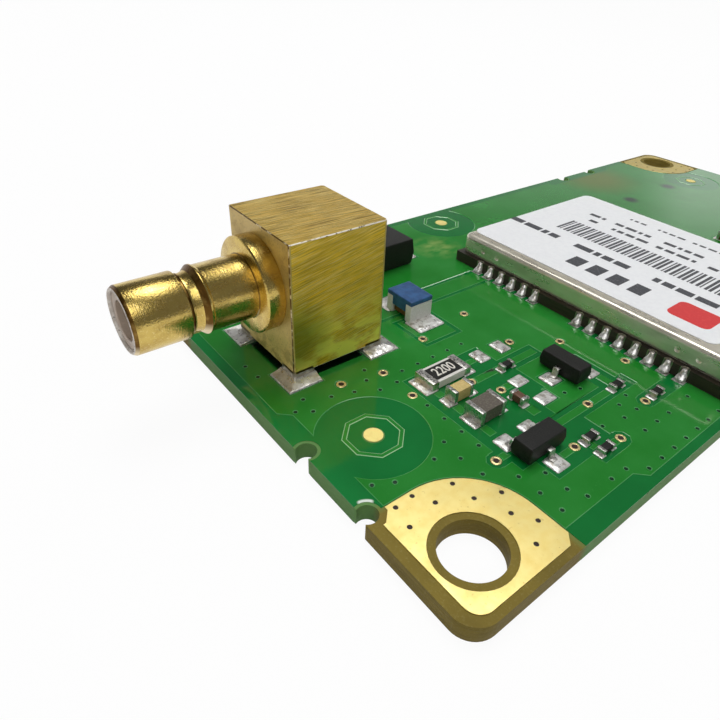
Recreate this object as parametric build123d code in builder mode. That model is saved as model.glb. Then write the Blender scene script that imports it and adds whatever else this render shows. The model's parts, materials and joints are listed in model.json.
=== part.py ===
import os
from collections import namedtuple

from build123d import *

os.makedirs("parts", exist_ok=True)

# Small round features are drawn with this many straight sides
small_round_sides = 8

# Laminate
board_length = 66.04
board_width = 31.75
board_thickness = 1.0
board_corner = 1.3

# Corner holes, and the bare gold pads round them
hole_radius = 1.6
hole_inset = 2.87
pad_side_margin = 0.6
pad_end_margin = 0.41
pad_round = 4.03
pad_corner = 0.85
pad_notch = 0.55
pad_hole_margin = 0.4

# Broken panel tabs: two round holes in the edge, and the snapped edge between them
tab_pitch = 4.95
tab_hole_radius = 0.55
tab_hole_inset = 0.4
tab_recess = 0.16
left_tab_y = 9.525
far_tab_x = 49.675

# Copper, its mask, and the gap round what the mask leaves bare
copper_height = 0.05
mask_gap = 0.06
pour_margin = 0.62
tab_margin = 1.25
tab_margin_reach = 5.1
near_margin_bare = 1.1
near_margin = 0.5
near_step_x = 12.5
margin_slant = 0.6

# Locating dots in their octagonal rings
dot_places = [(3.8, 10.92), (26.3, board_width - 2.3), (board_length - 5.74, board_width - 8.85)]
dot_radius = 0.52
dot_ring_sides = 8
dot_ring_width = 3.15
dot_ring_wall = 0.27
dot_clear_radius = 3.07

# Antenna connector: block on four feet
connector_place = (6.02, board_width - 11.6)
block_size = 6.35
block_top = 8.5
block_edge = 0.2
foot_size = 1.4
foot_height = 0.45
foot_land = 2.2
foot_land_reach = 0.78
foot_solder = 0.3
foot_solder_slope = 40.0

# Antenna connector: turned barrel, measured outward from the middle of the block
axis_height = 5.165
barrel_reach = 10.8
barrel_radius = 1.8
rim_chamfer = 0.15
groove_start = 2.91
groove_radius = 1.53
groove_slope = 0.07
groove_flat = 0.2
cone_radius = 1.6
cone_length = 0.4
ridge_radius = 1.87
ridge_length = 0.3
ridge_land = 0.1
collar_radius = 2.72
collar_length = 1.065
collar_edge = 0.12
bore_radius = 2.1
tail_depth = 1.4

# Antenna connector: insulators, pin and rear cap
mouth_radius = 1.5
socket_radius = 1.05
socket_depth = 3.2
insulator_recess = 0.2
pin_radius = 0.25
pin_recess = 0.75
pin_tip = 0.12
stem_radius = 1.1
stem_land_radius = 0.6
cap_thickness = 0.7
cap_edge = 0.1

# Antenna line from the connector to the receiver
line_width = 1.5
line_gap = 0.25

# Gold-ringed vias: those of the near corner, and those round the connector, measured from its middle
via_ring_radius = 0.3
via_hole_radius = 0.15
via_places = [
    (7.58, 12.15), (11.25, 11.08), (12.13, 9.52), (7.6, 5.83), (15.27, 5.73), (11.7, 4.05),
    (14.3, 2.97), (18.3, 3.88), (16.4, 12.6), (19.25, 10.7), (20.95, 6.87),
]
via_places += [
    (connector_place[0] + x, connector_place[1] + y)
    for x, y in [(-1.12, -4.85), (1.53, -5.4), (5.93, -4.05), (10.43, -3.35)]
]

# Receiver module
receiver_place = (30.59, 12.06)
receiver_length = 17.0
receiver_width = 22.4
substrate_thickness = 0.8
terminal_pitch = 1.1
far_terminals = 6
far_terminal_inset = 2.55
near_terminals = 8
near_terminal_inset = 2.85
terminal_radius = 0.32
plating = 0.06
terminal_land_width = 0.75
terminal_land_reach = 0.5
terminal_land_depth = 0.8
joint_height = 0.55
joint_width = 0.62

# Shield frame and lid
lid_top = 2.4
lid_inset = 0.29
lid_wall = 0.15
lid_corner = 0.5
lid_edge = 0.25
lid_lift = 0.25
shield_gap = 0.03
frame_wall = 0.15
frame_rim = 1.0
latch_radius = 0.22
latch_depth = 0.08
latch_height = 0.75
latch_offsets = (-8.8, -7.4, 7.4, 8.8)

# Label on the lid
label_place = (30.9, 12.9)
label_length = 15.4
label_width = 19.9
label_thickness = 0.08
label_corner = 0.7

# Surge diode
diode_place = (16.3, board_width - 5.45)
diode_length = 4.4
diode_width = 3.6
diode_height = 2.2
diode_lift = 0.1
diode_draft = 6.0
diode_lead_width = 2.0
diode_lead_thickness = 0.2
diode_lead_height = 1.1
diode_lead_reach = 0.45
diode_foot = 1.1
diode_land_length = 2.1
diode_land_reach = 1.2
diode_foot_gap = 0.03

# Choke
choke_place = (connector_place[0] + 7.365, connector_place[1] - 0.975)
choke_length = 2.45
choke_width = 1.93
choke_height = 1.6
choke_foot = 0.55
choke_neck_drop = 0.3
choke_neck_inset = 0.3
choke_cap_height = 0.35
choke_skirt_drop = 0.6
choke_skirt_wall = 0.15
wire_radius = 0.06
wire_gap = 0.01
choke_land_length = 1.7
choke_land_width = 2.3
choke_land_reach = 1.3

# Transistors: turn is that of the side with one lead, from pointing left
transistor_places = [(16.65, 8.5, 0), (9.95, 5.15, 90)]
transistor_length = 2.9
transistor_width = 1.3
transistor_height = 1.0
transistor_lift = 0.1
transistor_draft = 7.0
lead_pitch = 1.9
lead_width = 0.4
lead_thickness = 0.12
lead_height = 0.55
lead_shoulder = 0.2
lead_slope = 0.08
lead_reach = 0.55
transistor_land_length = 1.1
transistor_land_width = 1.1
transistor_land_reach = 1.15

# Chips with two ends: body size, end cap length, land size, and how far a land shows past an end
Chip = namedtuple("Chip", "place turn length width height end land_length land_width reach")
resistor = Chip(
    place=(10.22, 12.45), turn=0, length=3.1, width=1.55, height=0.55, end=0.5,
    land_length=1.0, land_width=1.7, reach=0.5,
)
tan_capacitor = Chip(
    place=(9.68, 10.56), turn=0, length=1.5, width=0.8, height=0.8, end=0.25,
    land_length=0.75, land_width=0.9, reach=0.45,
)
grey_capacitor = Chip(
    place=(9.75, 8.66), turn=0, length=1.95, width=1.28, height=0.9, end=0.3,
    land_length=0.8, land_width=1.25, reach=0.4,
)
brown_capacitor = Chip(
    place=(12.17, 8.27), turn=90, length=1.0, width=0.53, height=0.5, end=0.22,
    land_length=0.42, land_width=0.6, reach=0.15,
)
small_resistor = Chip(
    place=(14.05, 10.86), turn=0, length=1.0, width=0.5, height=0.35, end=0.2,
    land_length=0.45, land_width=0.6, reach=0.2,
)
small_resistors = [
    small_resistor._replace(place=spot)
    for spot in [small_resistor.place, (12.8, 3.93), (12.78, 2.94), (18.0, 5.67), (19.39, 3.87)]
]
supply_capacitor = tan_capacitor._replace(place=(46.2, 12.2), turn=90, reach=0.3)
chip_skin = 0.03
coat_width = 1.1
coat_thickness = 0.03

# Tinned lands left without a part, by opposite corners
empty_lands = [
    (13.08, 12.0, 14.05, 13.2), (14.97, 12.0, 15.95, 13.2),
    (13.03, 9.05, 14.2, 9.93), (13.03, 7.1, 14.3, 8.0),
]

# Where the pour is cleared away, by opposite corners
clearings = [
    (7.97, 6.3, 14.1, 13.45), (14.1, 8.2, 14.45, 10.5), (14.1, 10.4, 17.2, 11.65),
    (12.0, 5.18, 19.5, 6.27), (8.2, 4.6, 12.4, 6.4), (9.2, 3.13, 12.05, 5.2),
    (12.05, 2.38, 14.1, 5.18), (17.2, 6.27, 18.85, 9.6),
]

# Round-ended clearings: the middles of the two ends, and the width
slots = [
    ((12.5, 2.95), (14.3, 2.95), 1.1), ((7.6, 5.83), (8.6, 5.83), 1.04), ((18.3, 3.88), (21.4, 3.88), 1.05),
]

# Tracks that cross the clearings, by opposite corners
tracks = [
    (11.3, 10.75, 17.0, 11.3), (12.35, 12.3, 13.05, 12.75), (8.65, 7.2, 9.2, 12.0),
    (12.1, 9.3, 13.03, 9.8), (12.4, 5.45, 17.6, 5.95), (10.5, 3.82, 12.4, 4.25),
    (12.3, 3.2, 12.85, 3.85), (13.3, 2.75, 14.3, 3.2), (7.6, 5.6, 8.5, 6.05),
    (18.3, 3.7, 19.2, 4.1), (11.9, 6.9, 12.55, 7.8), (17.78, 5.9, 18.42, 7.4),
    (13.03, 6.27, 14.1, 7.1), (17.5, 9.2, 18.85, 9.6),
]

# The pour's clearing at the choke, and the track across it, measured from the choke's middle
choke_clearing = (-1.835, -3.875, 1.365, -0.475)
choke_track = (-1.585, -3.625, 1.065, -0.675)

# Host connector at the right end
host_place = (61.2, 13.6)
host_columns = 2
host_rows = 4
host_pitch = 2.0
host_body_length = 4.0
host_body_height = 1.5
host_lift = 0.6
host_pin_size = 0.5
host_pin_top = 5.6
host_pin_reach = 3.0
host_land_length = 1.6
host_land_width = 0.9
host_land_reach = 0.3

# Parts inside the shield: their sizes, and their places from the middle of the module
Inner = namedtuple("Inner", "length width height x y")
receiver_chip = Inner(length=7.0, width=7.0, height=0.85, x=1.2, y=-2.2)
antenna_filter = Inner(length=1.4, width=1.1, height=0.5, x=-4.6, y=7.4)
signal_amplifier = Inner(length=1.5, width=1.0, height=0.55, x=-1.8, y=7.4)
reference_crystal = Inner(length=2.5, width=2.0, height=0.8, x=2.6, y=6.6)
clock_crystal = Inner(length=3.2, width=1.5, height=0.75, x=-4.4, y=-7.0)
memory_chip = Inner(length=3.0, width=4.0, height=0.6, x=-5.4, y=1.0)
inner_capacitors = [
    Inner(length=1.0, width=0.5, height=0.5, x=x, y=y) for x in (-1.0, 1.0, 3.0) for y in (-8.0, 3.6)
]

# Heights that several pieces share
board_top = board_thickness
copper_top = board_top + copper_height


def place(x, y):
    """A place on the board, measured from its near left corner."""
    return (x - board_length / 2, y - board_width / 2)


def rectangle(x0, y0, x1, y1, margin=0, mode=Mode.ADD):
    """A rectangle of the board's top between two opposite corners."""
    with Locations(place((x0 + x1) / 2, (y0 + y1) / 2)):
        Rectangle(x1 - x0 + 2 * margin, y1 - y0 + 2 * margin, mode=mode)


def small_round(radius, mode=Mode.ADD):
    """A small circle, drawn with a few straight sides."""
    RegularPolygon(radius, small_round_sides, rotation=180 / small_round_sides, mode=mode)


corner_places = [
    (x, y)
    for x in (hole_inset, board_length - hole_inset)
    for y in (hole_inset, board_width - hole_inset)
]
left_tab_holes = [(tab_hole_inset, left_tab_y + side * tab_pitch / 2) for side in (-1, 1)]
far_tab_holes = [(far_tab_x + side * tab_pitch / 2, board_width - tab_hole_inset) for side in (-1, 1)]

# Laminate, with its corner holes, via holes and broken tabs
with BuildPart() as circuit_board:
    with BuildSketch():
        RectangleRounded(board_length, board_width, board_corner)
        with Locations([place(*corner) for corner in corner_places]):
            Circle(hole_radius, mode=Mode.SUBTRACT)
        with Locations([place(*hole) for hole in left_tab_holes + far_tab_holes]):
            small_round(tab_hole_radius, Mode.SUBTRACT)
        (x0, y0), (x1, y1) = left_tab_holes
        rectangle(0, y0, tab_recess, y1, mode=Mode.SUBTRACT)
        (x0, y0), (x1, y1) = far_tab_holes
        rectangle(x0, board_width - tab_recess, x1, board_width, mode=Mode.SUBTRACT)
    extrude(amount=board_thickness)


def corner_pad_outline(margin=0):
    """The gold pad of the near left corner, its round shoulder centred on the hole."""
    far_side = hole_inset + pad_round
    with BuildSketch() as outline:
        rectangle(pad_side_margin, pad_end_margin, far_side, far_side, margin)
        corners = outline.vertices().sort_by(Axis.X)
        left = corners[:2].sort_by(Axis.Y)
        right = corners[2:].sort_by(Axis.Y)
        fillet(right[1], pad_round + margin)
        fillet(left[0], pad_corner)
        chamfer(right[0], pad_notch)
        chamfer(left[1], pad_notch)
    return outline.sketch


def four_corners(shape, mode):
    """The near left corner's shape, and its mirror images at the other three corners."""
    across = shape.mirror(Plane.YZ)
    for corner in (shape, across, shape.mirror(Plane.XZ), across.mirror(Plane.XZ)):
        add(corner, mode=mode)


# Bare gold pads round the corner holes, on the laminate
with BuildPart() as corner_ground_pads:
    with BuildSketch(Plane.XY.offset(board_top)):
        four_corners(corner_pad_outline(), Mode.ADD)
        with Locations([place(*corner) for corner in corner_places]):
            Circle(hole_radius + pad_hole_margin, mode=Mode.SUBTRACT)
        with Locations(place(*left_tab_holes[0])):
            small_round(tab_hole_radius + pad_hole_margin, Mode.SUBTRACT)
    extrude(amount=copper_height)


def chip_lands(chip, margin=0, mode=Mode.ADD):
    """The two lands under a chip, each showing past its end."""
    offset = chip.length / 2 + chip.reach - chip.land_length / 2
    with Locations(Location((*place(*chip.place), 0), (0, 0, chip.turn))):
        with Locations((-offset, 0), (offset, 0)):
            Rectangle(chip.land_length + 2 * margin, chip.land_width + 2 * margin, mode=mode)


def transistor_lands(margin=0, mode=Mode.ADD):
    """Three lands under each transistor: one to its single lead, two to its pair."""
    offset = transistor_width / 2 + transistor_land_reach - transistor_land_length / 2
    for x, y, turn in transistor_places:
        with Locations(Location((*place(x, y), 0), (0, 0, turn))):
            with Locations((-offset, 0), (offset, lead_pitch / 2), (offset, -lead_pitch / 2)):
                Rectangle(transistor_land_length + 2 * margin, transistor_land_width + 2 * margin, mode=mode)


def choke_lands(margin=0, mode=Mode.ADD):
    """The choke's two lands, near and far."""
    offset = choke_length / 2 + choke_land_reach - choke_land_length / 2
    with Locations(place(*choke_place)):
        with Locations((0, -offset), (0, offset)):
            Rectangle(choke_land_width + 2 * margin, choke_land_length + 2 * margin, mode=mode)


def diode_lands(margin=0, mode=Mode.ADD):
    """The surge diode's two lands."""
    offset = diode_length / 2 + diode_land_reach - diode_land_length / 2
    with Locations(place(*diode_place)):
        with Locations((-offset, 0), (offset, 0)):
            Rectangle(diode_land_length + 2 * margin, diode_lead_width + 2 * margin, mode=mode)


def host_lands(margin=0, mode=Mode.ADD):
    """Two columns of lands under the host connector's bent pins."""
    offset = host_pin_reach + host_land_reach - host_land_length / 2
    with Locations(place(*host_place)):
        for side in (-1, 1):
            with Locations((side * offset, 0)):
                with GridLocations(0, host_pitch, 1, host_rows):
                    Rectangle(host_land_length + 2 * margin, host_land_width + 2 * margin, mode=mode)


foot_offset = block_size / 2 - foot_size / 2
foot_land_offset = block_size / 2 + foot_land_reach - foot_land / 2


def connector_lands_outline(margin=0, mode=Mode.ADD):
    """Four lands under the connector's feet, and the round one under its pin."""
    with Locations(place(*connector_place)):
        with GridLocations(2 * foot_land_offset, 2 * foot_land_offset, 2, 2):
            Rectangle(foot_land + 2 * margin, foot_land + 2 * margin, mode=mode)
        small_round(stem_land_radius + margin, mode)


def from_choke(corners):
    """Two opposite corners on the board, of an area measured from the choke's middle."""
    x, y = choke_place
    return (x + corners[0], y + corners[1], x + corners[2], y + corners[3])


receiver_left = receiver_place[0] - receiver_length / 2
receiver_near = receiver_place[1] - receiver_width / 2
receiver_far = receiver_near + receiver_width
terminal_rows = [receiver_far - far_terminal_inset - n * terminal_pitch for n in range(far_terminals)]
terminal_rows += [receiver_near + near_terminal_inset + n * terminal_pitch for n in range(near_terminals)]
terminal_places = [
    (side * receiver_length / 2, row - receiver_place[1]) for side in (-1, 1) for row in terminal_rows
]
land_length = terminal_land_depth + terminal_land_reach
land_offset = (receiver_length + terminal_land_reach - terminal_land_depth) / 2


def receiver_lands():
    """A land under each edge terminal of the receiver module."""
    with Locations(place(*receiver_place)):
        for side in (-1, 1):
            with Locations([(side * land_offset, y) for x, y in terminal_places if x * side > 0]):
                Rectangle(land_length, terminal_land_width)


def receiver_clearings():
    """The strips cleared of the pour along each group of the module's lands."""
    for group in (terminal_rows[:far_terminals], terminal_rows[far_terminals:]):
        low = min(group) - terminal_land_width / 2
        high = max(group) + terminal_land_width / 2
        for side in (-1, 1):
            middle = receiver_place[0] + side * land_offset
            rectangle(
                middle - land_length / 2, low, middle + land_length / 2, high, mask_gap, Mode.SUBTRACT
            )


all_chips = [resistor, tan_capacitor, grey_capacitor, brown_capacitor, *small_resistors, supply_capacitor]


def part_lands(margin=0, mode=Mode.ADD):
    """The lands of the small parts, and those left empty."""
    for chip in all_chips:
        chip_lands(chip, margin, mode)
    transistor_lands(margin, mode)
    choke_lands(margin, mode)
    diode_lands(margin, mode)
    host_lands(margin, mode)
    for land in empty_lands:
        rectangle(*land, margin, mode)


def dot_ring(across, mode):
    """An eight-sided area of that width across its flats."""
    RegularPolygon(
        across / 2, dot_ring_sides, major_radius=False, rotation=180 / dot_ring_sides, mode=mode
    )


# Ground pour and tracks: one foil with its mask, cleared round every bare land, dot and via
with BuildPart() as covered_copper:
    with BuildSketch(Plane.XY.offset(board_top)):
        with BuildLine():
            tab_low = left_tab_y - tab_margin_reach
            tab_high = left_tab_y + tab_margin_reach
            Polyline(
                [
                    place(x, y)
                    for x, y in [
                        (tab_margin, near_margin_bare),
                        (near_step_x, near_margin_bare),
                        (near_step_x + margin_slant, near_margin),
                        (board_length - pour_margin, near_margin),
                        (board_length - pour_margin, board_width - pour_margin),
                        (far_tab_x + tab_margin_reach + margin_slant, board_width - pour_margin),
                        (far_tab_x + tab_margin_reach, board_width - tab_margin),
                        (far_tab_x - tab_margin_reach, board_width - tab_margin),
                        (far_tab_x - tab_margin_reach - margin_slant, board_width - pour_margin),
                        (pour_margin, board_width - pour_margin),
                        (pour_margin, tab_high + margin_slant),
                        (tab_margin, tab_high),
                    ]
                ],
                close=True,
            )
        make_face()
        with Locations([place(*dot) for dot in dot_places]):
            Circle(dot_clear_radius, mode=Mode.SUBTRACT)
        for clearing in clearings + [from_choke(choke_clearing)]:
            rectangle(*clearing, mode=Mode.SUBTRACT)
        for start, end, width in slots:
            rectangle(start[0], start[1] - width / 2, end[0], end[1] + width / 2, mode=Mode.SUBTRACT)
            with Locations(place(*start), place(*end)):
                small_round(width / 2, Mode.SUBTRACT)
        line_y = connector_place[1]
        line_end = receiver_left + terminal_land_depth
        for side in (-1, 1):
            gap_y = line_y + side * (line_width + line_gap) / 2
            rectangle(
                connector_place[0], gap_y - line_gap / 2, line_end, gap_y + line_gap / 2, mode=Mode.SUBTRACT
            )
        for track in tracks + [from_choke(choke_track)]:
            rectangle(*track)
        connector_lands_outline(mask_gap, Mode.SUBTRACT)
        receiver_clearings()
        part_lands(mask_gap, Mode.SUBTRACT)
        with Locations([place(*via) for via in via_places]):
            small_round(via_ring_radius + mask_gap, Mode.SUBTRACT)
        four_corners(corner_pad_outline(mask_gap), Mode.SUBTRACT)
        with Locations([place(*dot) for dot in dot_places]):
            dot_ring(dot_ring_width, Mode.ADD)
            dot_ring(dot_ring_width - 2 * dot_ring_wall, Mode.SUBTRACT)
    extrude(amount=copper_height)

# Bare gold dots for machine placing
with BuildPart() as locating_dots:
    with BuildSketch(Plane.XY.offset(board_top)):
        with Locations([place(*dot) for dot in dot_places]):
            small_round(dot_radius)
    extrude(amount=copper_height)

# Gold rings of the vias
with BuildPart() as via_rings:
    with BuildSketch(Plane.XY.offset(board_top)):
        with Locations([place(*via) for via in via_places]):
            small_round(via_ring_radius)
            small_round(via_hole_radius, Mode.SUBTRACT)
    extrude(amount=copper_height)

# Tinned lands of the small parts
with BuildPart() as small_part_lands:
    with BuildSketch(Plane.XY.offset(board_top)):
        part_lands()
    extrude(amount=copper_height)

# Tinned lands of the antenna connector
with BuildPart() as connector_lands:
    with BuildSketch(Plane.XY.offset(board_top)):
        connector_lands_outline()
    extrude(amount=copper_height)

# Tinned lands of the receiver module
with BuildPart() as module_lands:
    with BuildSketch(Plane.XY.offset(board_top)):
        receiver_lands()
    extrude(amount=copper_height)

# Planes of the antenna connector: its foot, its axis pointing out of the board, and its pin's path
foot_plane = Plane((*place(*connector_place), copper_top))
axis_origin = Vector(*place(*connector_place), board_top + axis_height)
turning_plane = Plane(axis_origin, x_dir=(-1, 0, 0), z_dir=(0, 1, 0))
barrel_axis = Axis(axis_origin, (-1, 0, 0))
half_block = block_size / 2
block_underside = copper_top + foot_height
stem_drop = board_top + axis_height - copper_top

# Square block with four feet, bored through for the barrel and the rear cap, and below for the pin
with BuildPart() as connector_block:
    with BuildSketch(foot_plane.offset(foot_height)):
        Rectangle(block_size, block_size)
    extrude(amount=board_top + block_top - block_underside)
    with BuildSketch(foot_plane):
        with GridLocations(2 * foot_offset, 2 * foot_offset, 2, 2):
            Rectangle(foot_size, foot_size)
    extrude(amount=foot_height)
    upright = connector_block.edges().filter_by(Axis.Z)
    outer = upright.group_by(Axis.X)[0] + upright.group_by(Axis.X)[-1]
    chamfer([edge for edge in outer if edge.length > foot_height], block_edge)
    with BuildSketch(Plane(axis_origin - Vector(half_block, 0, 0), z_dir=(1, 0, 0))):
        Circle(bore_radius)
    extrude(amount=block_size, mode=Mode.SUBTRACT)
    with BuildSketch(foot_plane.offset(foot_height)):
        small_round(stem_radius)
    extrude(amount=stem_drop - foot_height, mode=Mode.SUBTRACT)

# Turned barrel: rim, latching groove with its cone and ridge, collar, and the tail in the block
groove_floor_start = barrel_reach - groove_start - groove_slope
groove_floor_end = groove_floor_start - groove_flat
ridge_start = groove_floor_end - cone_length
ridge_top = ridge_start - ridge_length
collar_front = half_block + collar_length
with BuildPart() as connector_barrel:
    with BuildSketch(turning_plane):
        with BuildLine():
            Polyline(
                (half_block - tail_depth, mouth_radius),
                (barrel_reach, mouth_radius),
                (barrel_reach, barrel_radius - rim_chamfer),
                (barrel_reach - rim_chamfer, barrel_radius),
                (barrel_reach - groove_start, barrel_radius),
                (groove_floor_start, groove_radius),
                (groove_floor_end, groove_radius),
                (ridge_start, cone_radius),
                (ridge_top, ridge_radius),
                (ridge_top - ridge_land, ridge_radius),
                (ridge_top - ridge_land - groove_slope, barrel_radius),
                (collar_front, barrel_radius),
                (collar_front, collar_radius - collar_edge),
                (collar_front - collar_edge, collar_radius),
                (half_block, collar_radius),
                (half_block, bore_radius),
                (half_block - tail_depth, bore_radius),
                close=True,
            )
        make_face()
    revolve(axis=barrel_axis)

# Insulator in the barrel: a socket for the plug in front, and a bead behind it
bead_end = half_block - tail_depth
with BuildPart() as connector_insulator:
    with BuildSketch(turning_plane):
        socket_end = barrel_reach - insulator_recess
        with BuildLine():
            Polyline(
                (bead_end, pin_radius),
                (bead_end, mouth_radius),
                (socket_end, mouth_radius),
                (socket_end, socket_radius),
                (socket_end - socket_depth, socket_radius),
                (socket_end - socket_depth, pin_radius),
                close=True,
            )
        make_face()
    revolve(axis=barrel_axis)

# Insulator of the pin's stem, from the block's underside up to its bore
with BuildPart() as connector_stem_insulator:
    with BuildSketch(foot_plane.offset(foot_height)):
        small_round(stem_radius)
        small_round(pin_radius, Mode.SUBTRACT)
    extrude(amount=stem_drop - foot_height - bore_radius)

# Centre pin: a turned contact with a chamfered tip, and the stem under its back end
pin_front = barrel_reach - pin_recess
with BuildPart() as connector_centre_pin:
    with BuildSketch(foot_plane):
        small_round(pin_radius)
    extrude(amount=stem_drop)
    with BuildSketch(turning_plane):
        with BuildLine():
            Polyline(
                (-pin_radius, 0),
                (-pin_radius, pin_radius),
                (pin_front - pin_tip, pin_radius),
                (pin_front, pin_radius - pin_tip),
                (pin_front, 0),
                close=True,
            )
        make_face()
    revolve(axis=barrel_axis)

# Round cap that closes the back of the block
with BuildPart() as connector_rear_cap:
    with BuildSketch(Plane(axis_origin + Vector(half_block - cap_thickness, 0, 0), z_dir=(1, 0, 0))):
        Circle(bore_radius)
    extrude(amount=cap_thickness)
    chamfer(connector_rear_cap.faces().sort_by(Axis.X)[-1].edges(), cap_edge)

# Solder that climbs round the block's feet
with BuildPart() as connector_solder:
    with BuildSketch(foot_plane):
        with GridLocations(2 * foot_offset, 2 * foot_offset, 2, 2):
            Rectangle(foot_size + 2 * foot_solder, foot_size + 2 * foot_solder)
    extrude(amount=foot_solder, taper=foot_solder_slope)
    with BuildSketch(foot_plane):
        with GridLocations(2 * foot_offset, 2 * foot_offset, 2, 2):
            Rectangle(foot_size, foot_size)
    extrude(amount=foot_solder, mode=Mode.SUBTRACT)

# Receiver module: its own board, with a half-round groove at each edge terminal
receiver_plane = Plane((*place(*receiver_place), copper_top))
with BuildPart() as receiver_substrate:
    with BuildSketch(receiver_plane):
        Rectangle(receiver_length, receiver_width)
        with Locations(terminal_places):
            small_round(terminal_radius, Mode.SUBTRACT)
    extrude(amount=substrate_thickness)

# Plating that lines the grooves
with BuildPart() as receiver_terminals:
    with BuildSketch(receiver_plane):
        with Locations(terminal_places):
            small_round(terminal_radius)
            small_round(terminal_radius - plating, Mode.SUBTRACT)
        Rectangle(receiver_length, receiver_width, mode=Mode.INTERSECT)
    extrude(amount=substrate_thickness)

# Solder at each terminal: a slope from the module's edge to the land
with BuildPart() as receiver_solder:
    for side in (-1, 1):
        edge_x = receiver_plane.origin.X + side * receiver_length / 2
        for x, y in [spot for spot in terminal_places if spot[0] * side > 0]:
            slope_plane = Plane(
                (edge_x, receiver_plane.origin.Y + y, copper_top), x_dir=(side, 0, 0), z_dir=(0, -side, 0)
            )
            with BuildSketch(slope_plane):
                with BuildLine():
                    Polyline((0, 0), (terminal_land_reach, 0), (0, joint_height), close=True)
                make_face()
            extrude(amount=joint_width / 2, both=True)

# Shield frame: a wall soldered round the substrate, with a rim turned in at the top
frame_length = receiver_length - 2 * (lid_inset + lid_wall + shield_gap)
frame_width = receiver_width - 2 * (lid_inset + lid_wall + shield_gap)
substrate_top = copper_top + substrate_thickness
frame_height = board_top + lid_top - lid_wall - shield_gap - substrate_top
with BuildPart() as shield_frame:
    with BuildSketch(receiver_plane.offset(substrate_thickness)):
        Rectangle(frame_length, frame_width)
    extrude(amount=frame_height)
    with BuildSketch(receiver_plane.offset(substrate_thickness)):
        Rectangle(frame_length - 2 * frame_wall, frame_width - 2 * frame_wall)
    extrude(amount=frame_height - frame_wall, mode=Mode.SUBTRACT)
    with BuildSketch(receiver_plane.offset(substrate_thickness)):
        Rectangle(frame_length - 2 * frame_rim, frame_width - 2 * frame_rim)
    extrude(amount=frame_height, mode=Mode.SUBTRACT)

# Shield lid: a drawn pan over the frame, its skirt clear of the substrate, with latch dimples
lid_length = receiver_length - 2 * lid_inset
lid_width = receiver_width - 2 * lid_inset
lid_depth = board_top + lid_top - substrate_top - lid_lift
latch_z = substrate_top + latch_height
with BuildPart() as shield_lid:
    with BuildSketch(receiver_plane.offset(substrate_thickness + lid_lift)):
        RectangleRounded(lid_length, lid_width, lid_corner)
    extrude(amount=lid_depth)
    fillet(shield_lid.faces().sort_by(Axis.Z)[-1].edges(), lid_edge)
    with BuildSketch(receiver_plane.offset(substrate_thickness + lid_lift)):
        Rectangle(lid_length - 2 * lid_wall, lid_width - 2 * lid_wall)
    extrude(amount=lid_depth - lid_wall, mode=Mode.SUBTRACT)
    for side in (-1, 1):
        wall_x = receiver_plane.origin.X + side * lid_length / 2
        for offset in latch_offsets:
            with BuildSketch(Plane((wall_x, receiver_plane.origin.Y + offset, latch_z), z_dir=(side, 0, 0))):
                small_round(latch_radius)
            extrude(amount=-latch_depth, mode=Mode.SUBTRACT)

# White label on the lid
with BuildPart() as receiver_label:
    with BuildSketch(Plane((*place(*label_place), board_top + lid_top))):
        RectangleRounded(label_length, label_width, label_corner)
    extrude(amount=label_thickness)

# Parts inside the shield, seated on the substrate
inner_plane = receiver_plane.offset(substrate_thickness)
seated = (Align.CENTER, Align.CENTER, Align.MIN)


def inner_block(piece):
    """A sealed part inside the shield."""
    with Locations(inner_plane.location * Location((piece.x, piece.y, 0))):
        Box(piece.length, piece.width, piece.height, align=seated)


with BuildPart() as receiver_chip_package:
    inner_block(receiver_chip)

with BuildPart() as antenna_filter_package:
    inner_block(antenna_filter)

with BuildPart() as signal_amplifier_package:
    inner_block(signal_amplifier)

with BuildPart() as reference_crystal_can:
    inner_block(reference_crystal)

with BuildPart() as clock_crystal_can:
    inner_block(clock_crystal)

with BuildPart() as memory_chip_package:
    inner_block(memory_chip)

with BuildPart() as inner_chip_capacitors:
    for capacitor in inner_capacitors:
        inner_block(capacitor)

# Surge diode: a moulded body with drafted sides, parted at the height of its leads
diode_plane = Plane((*place(*diode_place), copper_top))
diode_lead_out = diode_length / 2 + diode_lead_reach - diode_lead_thickness / 2
diode_recess = 2 * (diode_length / 2 - diode_lead_out + diode_foot + diode_foot_gap)
with BuildPart() as surge_diode_body:
    with BuildSketch(diode_plane.offset(diode_lead_height)):
        Rectangle(diode_length, diode_width)
    extrude(amount=board_top + diode_height - copper_top - diode_lead_height, taper=diode_draft)
    with BuildSketch(diode_plane.offset(diode_lead_height)):
        Rectangle(diode_length, diode_width)
    extrude(amount=diode_lift - diode_lead_height, taper=diode_draft)
    with BuildSketch(diode_plane):
        with GridLocations(diode_length, 0, 2, 1):
            Rectangle(diode_recess, diode_lead_width + 2 * diode_foot_gap)
    extrude(amount=diode_lead_thickness + diode_foot_gap, mode=Mode.SUBTRACT)


def bent_lead(plane, start, shoulder, slope, foot, height, thickness, width):
    """A flat lead out of a body's side, down, and along its land."""
    half = thickness / 2
    with BuildSketch(plane) as section:
        with BuildLine():
            Polyline(
                (start, height), (start + shoulder, height), (start + shoulder + slope, half), (foot, half)
            )
        trace(line_width=thickness)
    extrude(section.sketch, amount=width / 2, both=True)


# Its two leads leave the ends, run down and turn in under the body
with BuildPart() as surge_diode_leads:
    for side in (-1, 1):
        lead_plane = Plane(diode_plane.origin, x_dir=(side, 0, 0), z_dir=(0, -side, 0))
        half = diode_lead_thickness / 2
        with BuildSketch(lead_plane):
            with BuildLine():
                Polyline(
                    (diode_length / 2, diode_lead_height + half),
                    (diode_lead_out, diode_lead_height + half),
                    (diode_lead_out, half),
                    (diode_lead_out - diode_foot, half),
                )
            trace(line_width=diode_lead_thickness)
        extrude(amount=diode_lead_width / 2, both=True)

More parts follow.
